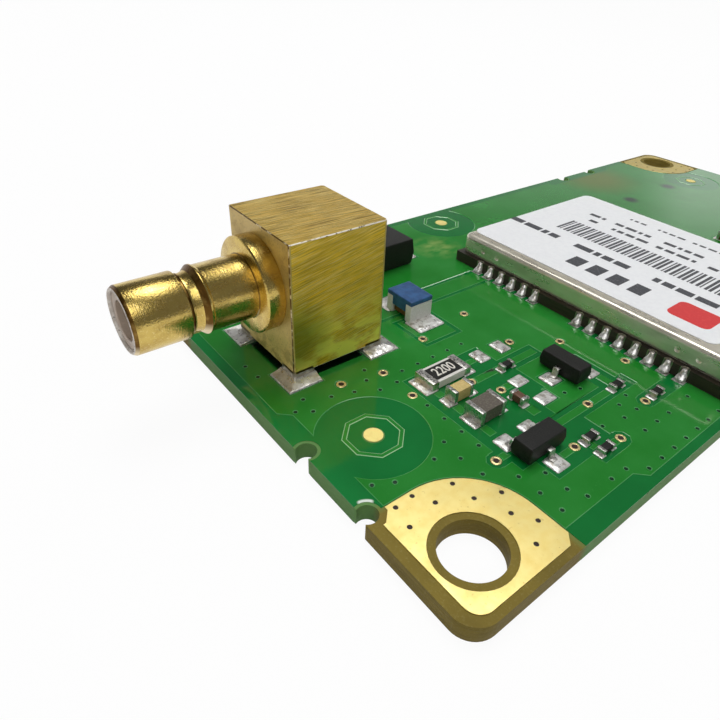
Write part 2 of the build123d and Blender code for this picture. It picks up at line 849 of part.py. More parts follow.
# Choke: a ceramic bobbin with a foot at each end
choke_plane = Plane((*place(*choke_place), copper_top))
choke_waist = choke_length - 2 * choke_foot
choke_core_top = choke_height - choke_cap_height
with BuildPart() as choke_core:
    with BuildSketch(choke_plane):
        Rectangle(choke_width, choke_length)
    extrude(amount=choke_core_top)
    waist_width = choke_width - 2 * choke_neck_inset
    waist_height = choke_core_top - 2 * choke_neck_drop
    with BuildSketch(choke_plane):
        Rectangle(choke_width, choke_waist)
    extrude(amount=choke_core_top, mode=Mode.SUBTRACT)
    with BuildSketch(choke_plane.offset(choke_neck_drop)):
        Rectangle(waist_width, choke_waist)
    extrude(amount=waist_height)

# Its copper winding: turns side by side round the waist
turn_pitch = 2 * wire_radius + wire_gap
turn_count = int((choke_waist - wire_gap) / turn_pitch)
with BuildPart() as choke_winding:
    for turn in range(turn_count):
        turn_y = (turn - (turn_count - 1) / 2) * turn_pitch
        turn_origin = choke_plane.origin + Vector(0, turn_y, choke_core_top / 2)
        with BuildSketch(Plane(turn_origin, x_dir=(1, 0, 0), z_dir=(0, -1, 0))):
            Rectangle(waist_width + 4 * wire_radius, waist_height + 4 * wire_radius)
            Rectangle(waist_width, waist_height, mode=Mode.SUBTRACT)
        extrude(amount=wire_radius, both=True)

# Its moulded cap, with a skirt down the left side of the winding
with BuildPart() as choke_cap:
    with BuildSketch(choke_plane.offset(choke_core_top)):
        Rectangle(choke_width, choke_length)
    extrude(amount=choke_cap_height)
    with BuildSketch(choke_plane.offset(choke_core_top)):
        with Locations(((choke_skirt_wall - choke_width) / 2, 0)):
            Rectangle(choke_skirt_wall, choke_waist)
    extrude(amount=-choke_skirt_drop)


def chip_core(chip):
    """The ceramic body of a two-ended chip, inside its caps by the thickness of their skin."""
    with Locations(Location((*place(*chip.place), copper_top + chip_skin), (0, 0, chip.turn))):
        Box(
            chip.length - 2 * chip_skin,
            chip.width - 2 * chip_skin,
            chip.height - 2 * chip_skin,
            align=seated,
        )


def chip_ends(chip):
    """The two metal caps over a chip's ends."""
    offset = chip.length / 2 - chip.end / 2
    with Locations(Location((*place(*chip.place), copper_top), (0, 0, chip.turn))):
        with Locations((-offset, 0), (offset, 0)):
            Box(chip.end, chip.width, chip.height, align=seated)
    with Locations(Location((*place(*chip.place), copper_top + chip_skin), (0, 0, chip.turn))):
        Box(
            chip.length - 2 * chip_skin,
            chip.width - 2 * chip_skin,
            chip.height - 2 * chip_skin,
            align=seated,
            mode=Mode.SUBTRACT,
        )


# Large resistor: ceramic body and its two caps
with BuildPart() as resistor_body:
    chip_core(resistor)

with BuildPart() as resistor_ends:
    chip_ends(resistor)

# Black coat over the resistor's film, between its end caps
with BuildPart() as resistor_coat:
    with BuildSketch(Plane((*place(*resistor.place), copper_top + resistor.height - chip_skin))):
        Rectangle(resistor.length - 2 * resistor.end, coat_width)
    extrude(amount=coat_thickness)

# Capacitors and small resistors, each kind's bodies and caps
with BuildPart() as tan_capacitor_body:
    chip_core(tan_capacitor)

with BuildPart() as tan_capacitor_ends:
    chip_ends(tan_capacitor)

with BuildPart() as grey_capacitor_body:
    chip_core(grey_capacitor)

with BuildPart() as grey_capacitor_ends:
    chip_ends(grey_capacitor)

with BuildPart() as brown_capacitor_bodies:
    chip_core(brown_capacitor)
    chip_core(supply_capacitor)

with BuildPart() as small_resistor_bodies:
    for chip in small_resistors:
        chip_core(chip)

with BuildPart() as small_chip_ends:
    for chip in [brown_capacitor, supply_capacitor, *small_resistors]:
        chip_ends(chip)

# Transistors: moulded bodies, drafted up and down from the parting line at their leads
with BuildPart() as transistor_bodies:
    for x, y, turn in transistor_places:
        body_plane = Plane((*place(x, y), copper_top)).rotated((0, 0, turn))
        with BuildSketch(body_plane.offset(lead_height)):
            Rectangle(transistor_width, transistor_length)
        extrude(amount=transistor_height + transistor_lift - lead_height, taper=transistor_draft)
        with BuildSketch(body_plane.offset(lead_height)):
            Rectangle(transistor_width, transistor_length)
        extrude(amount=transistor_lift - lead_height, taper=transistor_draft)

# Their leads: one on one side, two on the other
with BuildPart() as transistor_leads:
    for x, y, turn in transistor_places:
        middle = Plane((*place(x, y), copper_top)).rotated((0, 0, turn))
        for side, offset in ((-1, 0), (1, lead_pitch / 2), (1, -lead_pitch / 2)):
            origin = middle.origin + middle.y_dir * offset
            bent_lead(
                Plane(origin, x_dir=middle.x_dir * side, z_dir=middle.y_dir * -side),
                transistor_width / 2,
                lead_shoulder,
                lead_slope,
                transistor_width / 2 + lead_reach,
                lead_height,
                lead_thickness,
                lead_width,
            )

# Host connector: a moulded carrier and its bent pins, at the end that the view cuts off
host_plane = Plane((*place(*host_place), copper_top))
host_body_width = host_rows * host_pitch
with BuildPart() as host_connector_body:
    with BuildSketch(host_plane.offset(host_lift)):
        Rectangle(host_body_length, host_body_width)
    extrude(amount=host_body_height)
    with BuildSketch(host_plane.offset(host_lift)):
        with GridLocations(host_pitch, host_pitch, host_columns, host_rows):
            Rectangle(host_pin_size, host_pin_size)
    extrude(amount=host_body_height, mode=Mode.SUBTRACT)

with BuildPart() as host_connector_pins:
    half = host_pin_size / 2
    for side in (-1, 1):
        for row in range(host_rows):
            origin = host_plane.origin + Vector(0, (row - (host_rows - 1) / 2) * host_pitch, 0)
            with BuildSketch(Plane(origin, x_dir=(side, 0, 0), z_dir=(0, -side, 0))):
                with BuildLine():
                    Polyline(
                        (host_pitch / 2, host_pin_top), (host_pitch / 2, half), (host_pin_reach, half)
                    )
                trace(line_width=host_pin_size)
            extrude(amount=half, both=True)

# Every piece, named and written out
pieces = {
    "circuit_board": circuit_board,
    "covered_copper": covered_copper,
    "corner_ground_pads": corner_ground_pads,
    "locating_dots": locating_dots,
    "via_rings": via_rings,
    "small_part_lands": small_part_lands,
    "connector_lands": connector_lands,
    "module_lands": module_lands,
    "connector_block": connector_block,
    "connector_barrel": connector_barrel,
    "connector_insulator": connector_insulator,
    "connector_stem_insulator": connector_stem_insulator,
    "connector_centre_pin": connector_centre_pin,
    "connector_rear_cap": connector_rear_cap,
    "connector_solder": connector_solder,
    "receiver_substrate": receiver_substrate,
    "receiver_terminals": receiver_terminals,
    "receiver_solder": receiver_solder,
    "shield_frame": shield_frame,
    "shield_lid": shield_lid,
    "receiver_label": receiver_label,
    "receiver_chip": receiver_chip_package,
    "antenna_filter": antenna_filter_package,
    "signal_amplifier": signal_amplifier_package,
    "reference_crystal": reference_crystal_can,
    "clock_crystal": clock_crystal_can,
    "memory_chip": memory_chip_package,
    "inner_capacitors": inner_chip_capacitors,
    "surge_diode_body": surge_diode_body,
    "surge_diode_leads": surge_diode_leads,
    "choke_core": choke_core,
    "choke_winding": choke_winding,
    "choke_cap": choke_cap,
    "resistor_body": resistor_body,
    "resistor_ends": resistor_ends,
    "resistor_coat": resistor_coat,
    "tan_capacitor_body": tan_capacitor_body,
    "tan_capacitor_ends": tan_capacitor_ends,
    "grey_capacitor_body": grey_capacitor_body,
    "grey_capacitor_ends": grey_capacitor_ends,
    "brown_capacitor_bodies": brown_capacitor_bodies,
    "small_resistor_bodies": small_resistor_bodies,
    "small_chip_ends": small_chip_ends,
    "transistor_bodies": transistor_bodies,
    "transistor_leads": transistor_leads,
    "host_connector_body": host_connector_body,
    "host_connector_pins": host_connector_pins,
}
for label, piece in pieces.items():
    piece.part.label = label
    export_step(piece.part, f"parts/{label}.step")
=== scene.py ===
import json
import math

import bpy
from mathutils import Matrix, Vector

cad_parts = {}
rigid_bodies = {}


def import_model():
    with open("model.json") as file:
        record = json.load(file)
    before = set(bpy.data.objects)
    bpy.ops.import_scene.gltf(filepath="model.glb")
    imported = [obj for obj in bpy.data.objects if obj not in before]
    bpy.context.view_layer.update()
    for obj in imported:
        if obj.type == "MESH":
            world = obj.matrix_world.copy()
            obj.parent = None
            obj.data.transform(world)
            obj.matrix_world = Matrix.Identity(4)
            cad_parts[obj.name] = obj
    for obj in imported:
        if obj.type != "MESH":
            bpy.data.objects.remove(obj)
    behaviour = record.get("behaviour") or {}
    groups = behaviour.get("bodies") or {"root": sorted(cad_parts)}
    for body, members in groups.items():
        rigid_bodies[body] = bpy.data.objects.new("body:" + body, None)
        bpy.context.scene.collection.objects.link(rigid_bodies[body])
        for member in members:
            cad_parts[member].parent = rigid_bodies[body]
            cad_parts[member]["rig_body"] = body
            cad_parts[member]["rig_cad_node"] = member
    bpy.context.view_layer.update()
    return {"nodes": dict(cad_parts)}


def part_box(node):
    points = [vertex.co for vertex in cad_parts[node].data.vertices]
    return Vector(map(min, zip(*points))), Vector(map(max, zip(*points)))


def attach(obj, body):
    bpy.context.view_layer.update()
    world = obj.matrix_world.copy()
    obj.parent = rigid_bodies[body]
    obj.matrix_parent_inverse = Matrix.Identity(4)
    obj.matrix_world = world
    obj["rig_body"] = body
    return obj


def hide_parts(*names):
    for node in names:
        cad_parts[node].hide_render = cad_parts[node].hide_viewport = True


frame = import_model()

# Board: one sheet of glass-fibre laminate, milled to shape and drilled at its corners. It was
# broken out of its panel at two tabs, each of which leaves two half-open holes and a rough edge
# between them.
mm = 0.001
hair = mm / 1000
slack = 0.001
board_low, board_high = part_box("circuit_board")
board_length, board_width, board_top = (board_high - board_low) / mm
board_corner = 1.3
board_rim = 0.03
film = 0.02
hole_radius = 1.6
hole_inset = 2.87
tab_hole_radius = 0.55
tab_hole_inset = 0.4
tab_recess = 0.16
tab_pitch = 4.95
left_tab_y = 9.525
far_tab_x = 49.675
mouth_round = 0.22
through = 3.0


def place(x, y, z):
    """A place in the frame: millimetres right of, behind and above the board's near left corner."""
    return board_low + Vector((x, y, z)) * mm


def settled(name):
    """The piece that was just added, named, and its place put in its mesh."""
    bpy.ops.object.transform_apply(location=True, rotation=True, scale=True)
    piece = bpy.context.object
    piece.name = name
    return piece


def block(name, low, high):
    """A box between two opposite corners."""
    bpy.ops.mesh.primitive_cube_add(size=1, location=(low + high) / 2, scale=high - low)
    return settled(name)


def rod(name, middle, radius, length, sides=48, turn=(0, 0, 0)):
    """A round bar about its middle, of that radius and length in millimetres."""
    bpy.ops.mesh.primitive_cylinder_add(
        vertices=sides, radius=radius * mm, depth=length * mm, location=middle, rotation=turn
    )
    return settled(name)


def alone(piece):
    """Makes a piece the only one selected, and the one that operators act on."""
    bpy.ops.object.select_all(action="DESELECT")
    piece.select_set(True)
    bpy.context.view_layer.objects.active = piece


def choose(piece, kind, wanted):
    """Opens a piece for editing with only those vertices, edges or faces selected."""
    alone(piece)
    mesh = piece.data
    for items in (mesh.vertices, mesh.edges, mesh.polygons):
        for item in items:
            item.select = False
    for item in {"VERT": mesh.vertices, "EDGE": mesh.edges, "FACE": mesh.polygons}[kind]:
        item.select = wanted(item)
    bpy.context.tool_settings.mesh_select_mode = (kind == "VERT", kind == "EDGE", kind == "FACE")
    bpy.ops.object.mode_set(mode="EDIT")


def choose_top(piece):
    """Opens a piece for editing with its upper faces selected."""
    choose(piece, "FACE", lambda face: face.normal.z > 0.9)


def leave_edit():
    """Ends the editing of a piece."""
    bpy.ops.object.mode_set(mode="OBJECT")


def round_uprights(piece, radius, steps, wanted=lambda x, y: True):
    """Rounds the upright edges whose place, in millimetres from the board's corner, is wanted."""

    def chosen(edge):
        first, last = (piece.data.vertices[v].co for v in edge.vertices)
        spot = (first - board_low) / mm
        return (first - last).xy.length < hair and wanted(spot.x, spot.y)

    choose(piece, "EDGE", chosen)
    bpy.ops.mesh.bevel(offset=radius * mm, segments=steps, affect="EDGES")
    leave_edit()


def add_modifier(piece, kind, **settings):
    """Adds a modifier with those settings and applies it."""
    alone(piece)
    modifier = piece.modifiers.new(kind.title(), kind)
    for setting, value in settings.items():
        setattr(modifier, setting, value)
    bpy.ops.object.modifier_apply(modifier=modifier.name)


def cut(piece, cutter):
    """Cuts one piece out of another."""
    add_modifier(piece, "BOOLEAN", object=cutter, operation="DIFFERENCE", solver="EXACT")
    bpy.data.objects.remove(cutter)


def soften(piece, width, steps=2, angle=30):
    """Breaks a piece's sharp edges."""
    add_modifier(
        piece,
        "BEVEL",
        width=width * mm,
        segments=steps,
        limit_method="ANGLE",
        angle_limit=math.radians(angle),
        use_clamp_overlap=True,
    )


def join(name, parts):
    """One piece made of several."""
    bpy.ops.object.select_all(action="DESELECT")
    for part in parts:
        part.select_set(True)
    bpy.context.view_layer.objects.active = parts[0]
    bpy.ops.object.join()
    parts[0].name = name
    return parts[0]


def fit(piece, finish, slot, *nodes, crease=35):
    """Gives a piece its finish, its smooth shading, and its place in the frame."""
    if not piece.data.materials:
        piece.data.materials.append(finish)
    alone(piece)
    bpy.ops.object.shade_smooth_by_angle(angle=math.radians(crease))
    add_modifier(piece, "WEIGHTED_NORMAL", keep_sharp=True)
    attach(piece, "root")
    if nodes:
        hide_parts(*nodes)
    return piece


corner_places = [
    (x, y)
    for x in (hole_inset, board_length - hole_inset)
    for y in (hole_inset, board_width - hole_inset)
]
left_tab_holes = [(tab_hole_inset, left_tab_y + side * tab_pitch / 2) for side in (-1, 1)]
far_tab_y = board_width - tab_hole_inset
far_tab_holes = [(far_tab_x + side * tab_pitch / 2, far_tab_y) for side in (-1, 1)]


def cut_outline(sheet, tab_margin):
    """Rounds a sheet's corners and cuts its tabs, with the tabs' holes wider by a margin."""
    round_uprights(sheet, board_corner, 10)
    for x, y in left_tab_holes + far_tab_holes:
        cut(sheet, rod("cutter", place(x, y, 0), tab_hole_radius + tab_margin, through, 64))
    (x0, y0), (x1, y1) = left_tab_holes
    cut(sheet, block("cutter", place(-1, y0, -1), place(tab_recess, y1, through)))
    (x0, y0), (x1, y1) = far_tab_holes
    far_low = place(x0, board_width - tab_recess, -1)
    cut(sheet, block("cutter", far_low, place(x1, board_width + 1, through)))


def at_tab_mouth(x, y):
    """True where a tab's hole opens on the board's edge."""
    from_far = board_width - y
    on_left = min(abs(x), abs(x - tab_recess)) < slack
    on_far = min(abs(from_far), abs(from_far - tab_recess)) < slack
    by_left_tab = on_left and abs(y - left_tab_y) < tab_pitch
    return by_left_tab or (on_far and abs(x - far_tab_x) < tab_pitch)


board = block("board_laminate", place(0, 0, film), place(board_length, board_width, board_top))
cut_outline(board, 0)
for x, y in corner_places:
    cut(board, rod("cutter", place(x, y, 0), hole_radius, through, 96))
round_uprights(board, mouth_round, 6, at_tab_mouth)
soften(board, board_rim, 2, 60)


def shader_input(finish, name):
    """An input of a finish's main shader."""
    return finish.node_tree.nodes["Principled BSDF"].inputs[name]


def new_finish(name, colour, roughness, metallic=0.0):
    """A plain material, to which the piece's own patterns are added."""
    finish = bpy.data.materials.new(name)
    finish.use_nodes = True
    shader_input(finish, "Base Color").default_value = (*colour, 1)
    shader_input(finish, "Roughness").default_value = roughness
    shader_input(finish, "Metallic").default_value = metallic
    return finish


def add_node(finish, kind, inputs, **settings):
    """A node with its inputs set to values, or joined to other nodes' outputs."""
    node = finish.node_tree.nodes.new("ShaderNode" + kind)
    for setting, value in settings.items():
        setattr(node, setting, value)
    for name, value in inputs.items():
        if isinstance(value, bpy.types.NodeSocket):
            finish.node_tree.links.new(value, node.inputs[name])
        else:
            node.inputs[name].default_value = value
    return node


def own_place(finish):
    """Where a point lies on the piece."""
    return add_node(finish, "TexCoord", {}).outputs["Object"]


def grain(finish, size, turn=(0, 0, 0), detail=3.0):
    """Noise fixed to the piece: the size of its grains, or their length, width and height."""
    extents = size if isinstance(size, tuple) else (size, size, size)
    mapping = add_node(
        finish,
        "Mapping",
        {
            "Vector": own_place(finish),
            "Rotation": [math.radians(angle) for angle in turn],
            "Scale": [extent * mm for extent in extents],
        },
        vector_type="TEXTURE",
    )
    inputs = {"Vector": mapping.outputs["Vector"], "Scale": 1.0, "Detail": detail}
    return add_node(finish, "TexNoise", inputs).outputs["Fac"]


def spread(finish, source, low, high, to_low=0.0, to_high=1.0):
    """A value that goes from one number to another as its source does."""
    node = add_node(
        finish,
        "MapRange",
        {"Value": source, "From Min": low, "From Max": high, "To Min": to_low, "To Max": to_high},
    )
    return node.outputs["Result"]


def near(finish, spot, start, end, strength=1.0):
    """Grows from nothing to full strength between two distances from a spot, in millimetres."""
    inputs = {0: own_place(finish), 1: spot}
    away = add_node(finish, "VectorMath", inputs, operation="DISTANCE").outputs["Value"]
    return spread(finish, away, start * mm, end * mm, 0, strength)


def along(finish, axis, start, end, strength=1.0, spot=(0, 0, 0)):
    """Grows as near does, with the distances taken along one axis: as a rule from the middle."""
    inputs = {0: own_place(finish), 1: spot}
    offset = add_node(finish, "VectorMath", inputs, operation="SUBTRACT").outputs["Vector"]
    part = add_node(finish, "SeparateXYZ", {"Vector": offset}).outputs[axis]
    away = add_node(finish, "Math", {0: part}, operation="ABSOLUTE").outputs["Value"]
    return spread(finish, away, start * mm, end * mm, 0, strength)


def combine(finish, operation, first, second):
    """Two values multiplied, added or subtracted, or the greater of them."""
    return add_node(finish, "Math", {0: first, 1: second}, operation=operation).outputs["Value"]


def lay(finish, amount, colour):
    """Lays a colour over what the finish shows so far, as much as the amount says."""
    base = shader_input(finish, "Base Color")
    under = base.links[0].from_socket if base.links else tuple(base.default_value)
    mix = add_node(finish, "MixRGB", {"Fac": amount, "Color1": under, "Color2": (*colour, 1)})
    finish.node_tree.links.new(mix.outputs["Color"], base)


def dent(finish, height, depth):
    """Adds relief of that depth in millimetres."""
    normal = shader_input(finish, "Normal")
    inputs = {"Height": height, "Distance": depth * mm, "Strength": 1.0}
    if normal.links:
        inputs["Normal"] = normal.links[0].from_socket
    bump = add_node(finish, "Bump", inputs)
    finish.node_tree.links.new(bump.outputs["Normal"], normal)


def polish(finish, amount, low, high):
    """Makes the roughness go from one value to another as the amount does."""
    roughness = shader_input(finish, "Roughness")
    finish.node_tree.links.new(spread(finish, amount, 0.3, 0.7, low, high), roughness)


def cloud(finish, size, low, high, strength, colour):
    """Lays a colour over a finish in patches, fading in as their noise goes from low to high."""
    lay(finish, spread(finish, grain(finish, size), low, high, 0, strength), colour)


def roughen(finish, size, depth):
    """Adds relief with grains of that size and depth in millimetres."""
    dent(finish, grain(finish, size), depth)


def mottle(finish, size, low, high):
    """Makes the roughness wander between two values."""
    polish(finish, grain(finish, size), low, high)


laminate = new_finish("laminate_edge", (0.205, 0.153, 0.029), 0.6)
shader_input(laminate, "Specular IOR Level").default_value = 0.12
cloud(laminate, (2.5, 2.5, 0.12), 0.35, 0.7, 0.5, (0.10, 0.075, 0.018))
cloud(laminate, 0.12, 0.55, 0.75, 0.35, (0.30, 0.25, 0.09))
pad_end_x = along(laminate, "X", 26.4, 25.8)
pad_end_y = along(laminate, "Y", 9.2, 8.6)
lay(laminate, combine(laminate, "MAXIMUM", pad_end_x, pad_end_y), (0.115, 0.235, 0.072))
roughen(laminate, (1.5, 1.5, 0.08), 0.03)
roughen(laminate, 0.1, 0.012)
fit(board, laminate, "laminate", "circuit_board")

# Solder mask over bare laminate: a green lacquer film on both faces, open round the corner pads,
# the tabs' holes and the locating dots. The laminate shows through it, so it is darker than over
# copper.
pad_outline = 6.96
pad_round = 4.09
tab_ring = 0.17
dot_opening = 0.6
dot_places = [(3.8, 10.92), (26.3, 29.45), (60.3, 22.9)]
pale_arc_place = (0.80, 7.72)


def corner_cutter(right, far):
    """The area that the mask leaves bare at a corner: its gold pad, and the margin to the edges."""
    x0, x1 = (board_length - pad_outline, board_length + 1) if right else (-1, pad_outline)
    y0, y1 = (board_width - pad_outline, board_width + 1) if far else (-1, pad_outline)
    cutter = block("cutter", place(x0, y0, -1), place(x1, y1, through))
    inner_x = x0 if right else x1
    inner_y = y0 if far else y1
    round_uprights(
        cutter, pad_round, 24, lambda x, y: abs(x - inner_x) < slack and abs(y - inner_y) < slack
    )
    return cutter


def mask_sheet(name, bottom, top):
    """A film over the whole board with its openings."""
    sheet = block(name, place(0, 0, bottom), place(board_length, board_width, top))
    cut_outline(sheet, tab_ring)
    for right in (False, True):
        for far in (False, True):
            cut(sheet, corner_cutter(right, far))
    return sheet


top_mask = mask_sheet("mask_film_top", board_top, board_top + film)
for x, y in dot_places:
    cut(top_mask, rod("cutter", place(x, y, board_top), dot_opening, 1, 48))
bottom_mask = mask_sheet("mask_film_bottom", 0, film)


def lacquer(name, colour, pale):
    """Glossy green solder mask: faint orange peel, cloudy patches and a few specks."""
    finish = new_finish(name, colour, 0.12)
    shader_input(finish, "IOR").default_value = 1.8
    cloud(finish, 3.0, 0.35, 0.75, 0.55, pale)
    cloud(finish, 0.12, 0.62, 0.8, 0.4, pale)
    mottle(finish, 5.0, 0.05, 0.11)
    roughen(finish, 1.2, 0.003)
    roughen(finish, 0.15, 0.0008)
    return finish


mask_on_laminate = lacquer("mask_on_laminate", (0.002, 0.145, 0.025), (0.005, 0.195, 0.036))
at_ends = along(mask_on_laminate, "X", 31.2, 32.6, 0.8)
lay(mask_on_laminate, at_ends, (0.004, 0.19, 0.036))
# A pale, almost white arc on the mask beside the nearer left tab hole.
by_hole = near(mask_on_laminate, place(*left_tab_holes[0], board_top), 0.90, 0.82)
pale_arc = near(mask_on_laminate, place(*pale_arc_place, board_top), 0.42, 0.30)
pale_arc = combine(mask_on_laminate, "MULTIPLY", by_hole, pale_arc)
lay(mask_on_laminate, pale_arc, (0.78, 0.84, 0.78))
fit(top_mask, mask_on_laminate, "covered_copper")
fit(bottom_mask, mask_on_laminate, "covered_copper")

# Copper pour and tracks under the same mask: a foil that stands a little proud, so that its edges
# catch the light. Over copper the green is lighter and yellower.


def copy_of(node, name):
    """A CAD node's shape as a new piece, its triangles joined and its flat faces made whole."""
    source = frame["nodes"][node]
    piece = source.copy()
    piece.data = source.data.copy()
    piece.name = name
    piece.parent = None
    piece.hide_render = False
    piece.hide_viewport = False
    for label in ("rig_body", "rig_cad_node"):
        del piece[label]
    piece.data.materials.clear()
    bpy.context.scene.collection.objects.link(piece)
    alone(piece)
    bpy.ops.object.mode_set(mode="EDIT")
    bpy.ops.mesh.select_all(action="SELECT")
    bpy.ops.mesh.remove_doubles(threshold=hair)
    bpy.ops.mesh.dissolve_limited(angle_limit=math.radians(1))
    leave_edit()
    return piece


copper_top = (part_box("covered_copper")[1].z - board_low.z) / mm
connector_x = 6.02
connector_y = 20.15
block_middle = place(connector_x, connector_y, copper_top)
slope_width = 0.04
slope_height = 0.02
neck_via = (7.58, 12.15)
neck_gap = 0.4
stain_place = (50.5, 29.4)
residue_place = (22.3, 25.8)
mark_places = ((48.0, 23.2), (55.8, 23.3))
above_board = board_high.z + slope_height * mm


def at_neck(spot):
    """True on the rim of the gap round one via, which all but reaches the pour's edge."""
    return spot.z > above_board and (spot - place(*neck_via, copper_top)).length < neck_gap * mm


def turn_up(foil):
    """Turns a foil's upper faces that look down."""
    choose(foil, "FACE", lambda face: face.normal.z < -0.3 and face.center.z > board_high.z)
    bpy.ops.mesh.flip_normals()
    leave_edit()


pour = copy_of("covered_copper", "copper_pour")
choose(pour, "FACE", lambda face: abs(face.normal.z) < 0.5 and at_neck(face.center))
bpy.ops.mesh.delete(type="FACE")
leave_edit()
choose(pour, "EDGE", lambda edge: all(at_neck(pour.data.vertices[v].co) for v in edge.vertices))
bpy.ops.mesh.fill()
leave_edit()
turn_up(pour)
choose(pour, "FACE", lambda face: face.normal.z > 0.9 and face.center.z > above_board)
bpy.ops.transform.translate(value=(0, 0, -slope_height * mm))
bpy.ops.mesh.inset(thickness=slope_width * mm, depth=slope_height * mm)
bpy.ops.mesh.delete(type="FACE")
leave_edit()
slope_top = place(0, 0, copper_top - slope_height / 2).z
points = pour.data.vertices
choose(pour, "EDGE", lambda edge: all(points[v].co.z > slope_top for v in edge.vertices))
bpy.ops.mesh.fill(use_beauty=False)
bpy.ops.mesh.dissolve_degenerate(threshold=hair)
leave_edit()
turn_up(pour)
mask_on_copper = lacquer("mask_on_copper", (0.012, 0.190, 0.018), (0.034, 0.270, 0.048))
mask_on_slope = lacquer("mask_on_slope", (0.045, 0.27, 0.065), (0.14, 0.42, 0.17))
# Painted shadow: the mask under the connector block, and a little past its edges, is laid nearly
# black.
shadow_under_block_x = along(mask_on_copper, "X", 3.45, 3.20, 1, block_middle)
shadow_under_block_y = along(mask_on_copper, "Y", 3.30, 3.20, 1, block_middle)
lay(mask_on_copper, combine(mask_on_copper, "MULTIPLY", shadow_under_block_x, shadow_under_block_y), (0.0, 0.006, 0.002))
stained = near(mask_on_copper, place(*stain_place, copper_top), 5.5, 1.8, 0.85)
lay(mask_on_copper, stained, (0.11, 0.15, 0.006))
residue = near(mask_on_copper, place(*residue_place, copper_top), 2.4, 0.8, 0.4)
patches = spread(mask_on_copper, grain(mask_on_copper, (1.4, 0.9, 0.9)), 0.36, 0.62)
lay(mask_on_copper, combine(mask_on_copper, "MULTIPLY", residue, patches), (0.42, 0.50, 0.15))
for x, y in mark_places:
    mark = near(mask_on_copper, place(x, y, copper_top), 1.0, 0.4)
    lay(mask_on_copper, mark, (0.0, 0.030, 0.009))
# Painted highlight: the copper slopes within about 2.2 mm of each locating dot, which outline its
# octagon, are laid pale green.
for x, y in dot_places:
    octagon_highlight = near(mask_on_slope, place(x, y, copper_top), 2.3, 2.1, 0.55)
    lay(mask_on_slope, octagon_highlight, (0.55, 0.80, 0.50))
pour.data.materials.append(mask_on_copper)
pour.data.materials.append(mask_on_slope)
for face in pour.data.polygons:
    face.material_index = int(0.3 < face.normal.z < 0.99)
fit(pour, mask_on_copper, "covered_copper", "covered_copper", crease=15)

# Covered vias: small plated holes that join the copper on both faces. The mask fills them and
# sinks in as it dries, which leaves a dimple with a shiny rim.
dimple_radius = 0.16
dimple_rim = 0.03
dimple_rise = 0.02
dimple_depth = 0.016
dimple_wall = 0.02
dimple_places = [
    (1.6, 8.25), (2.6, 7.75), (5.15, 7.75), (6.4, 8.35), (7.7, 8.37), (6.25, 7.0), (7.67, 7.1),
    (6.37, 5.6), (7.67, 4.43), (8.95, 3.8), (7.7, 3.13), (7.7, 1.85), (8.95, 2.5), (7.67, 9.65),
    (7.67, 11.0), (7.65, 13.6), (6.4, 13.6), (5.1, 14.3), (3.8, 14.7), (2.3, 14.25), (1.5, 14.75),
    (6.3, 14.75), (2.4, 15.4), (6.8, 15.6), (1.3, 19.9), (1.4, 18.6), (9.38, 1.63), (11.3, 1.57),
    (12.5, 1.52), (14.3, 4.1), (15.95, 3.78), (17.2, 3.78), (16.7, 4.6), (17.8, 4.87), (15.95, 2.5),
    (17.2, 2.5), (18.45, 2.5), (20.8, 2.6), (15.0, 7.15), (16.1, 6.85),
]
dimple_places += [(8.6 + 1.25 * n, 14.25) for n in range(5)]
dimple_places += [(13.5 + 1.25 * n, 0.82) for n in range(36)]


def dimple(x, y):
    """One covered via on the pour."""
    piece = rod("dimple", place(x, y, copper_top), dimple_radius, 2 * dimple_rise, 14)
    choose_top(piece)
    bpy.ops.mesh.inset(thickness=dimple_rim * mm)
    bpy.ops.mesh.inset(thickness=dimple_wall * mm, depth=-dimple_depth * mm)
    leave_edit()
    return piece


first = dimple(*dimple_places[0])
dimples = [first]
for x, y in dimple_places[1:]:
    other = first.copy()
    other.data = first.data.copy()
    bpy.context.scene.collection.objects.link(other)
    alone(other)
    other.location = place(x, y, 0) - place(*dimple_places[0], 0)
    bpy.ops.object.transform_apply(location=True)
    dimples.append(other)
covered_vias = join("covered_vias", dimples)
pit = new_finish("via_pit", (0.002, 0.055, 0.014), 0.25)
lay(pit, grain(pit, 0.1), (0.0, 0.018, 0.007))
covered_vias.data.materials.append(mask_on_slope)
covered_vias.data.materials.append(pit)
pit_below = place(0, 0, copper_top + dimple_rise / 2).z
for face in covered_vias.data.polygons:
    face.material_index = int(face.normal.z > 0.9 and face.center.z < pit_below)
fit(covered_vias, mask_on_slope, "covered_copper")

# Corner pads: bare copper with a thin gold plating, matt and slightly stained, sewn to the ground
# layer by small open vias.
pad_vias = [
    (1.65, 6.57), (2.7, 6.63), (4.75, 6.05), (3.3, 5.7), (1.45, 5.37), (4.93, 4.8), (6.25, 4.27),
    (5.65, 3.17), (6.33, 2.15), (5.25, 1.38),
]
pad_via_radius = 0.13
pad_side = 0.6
pad_end = 0.41
pad_reach = 6.9
pad_corner = 0.85
pad_nip = 0.5
shade_disc_depth = 0.02


def mirrored(spots):
    """The near left corner's places and their mirror images at the other three corners."""
    return [
        (board_length - x if right else x, board_width - y if far else y)
        for x, y in spots
        for right in (False, True)
        for far in (False, True)
    ]


def trim_corners(plating):
    """Rounds the pads' outer corners and nips off the corners at their ends."""
    for spots, size, steps in (
        (mirrored([(pad_side, pad_end)]), pad_corner, 10),
        (mirrored([(pad_reach, pad_end), (pad_side, pad_reach)]), pad_nip, 1),
    ):

        def wanted(x, y):
            return any(abs(x - u) + abs(y - v) < slack for u, v in spots)

        round_uprights(plating, size, steps, wanted)


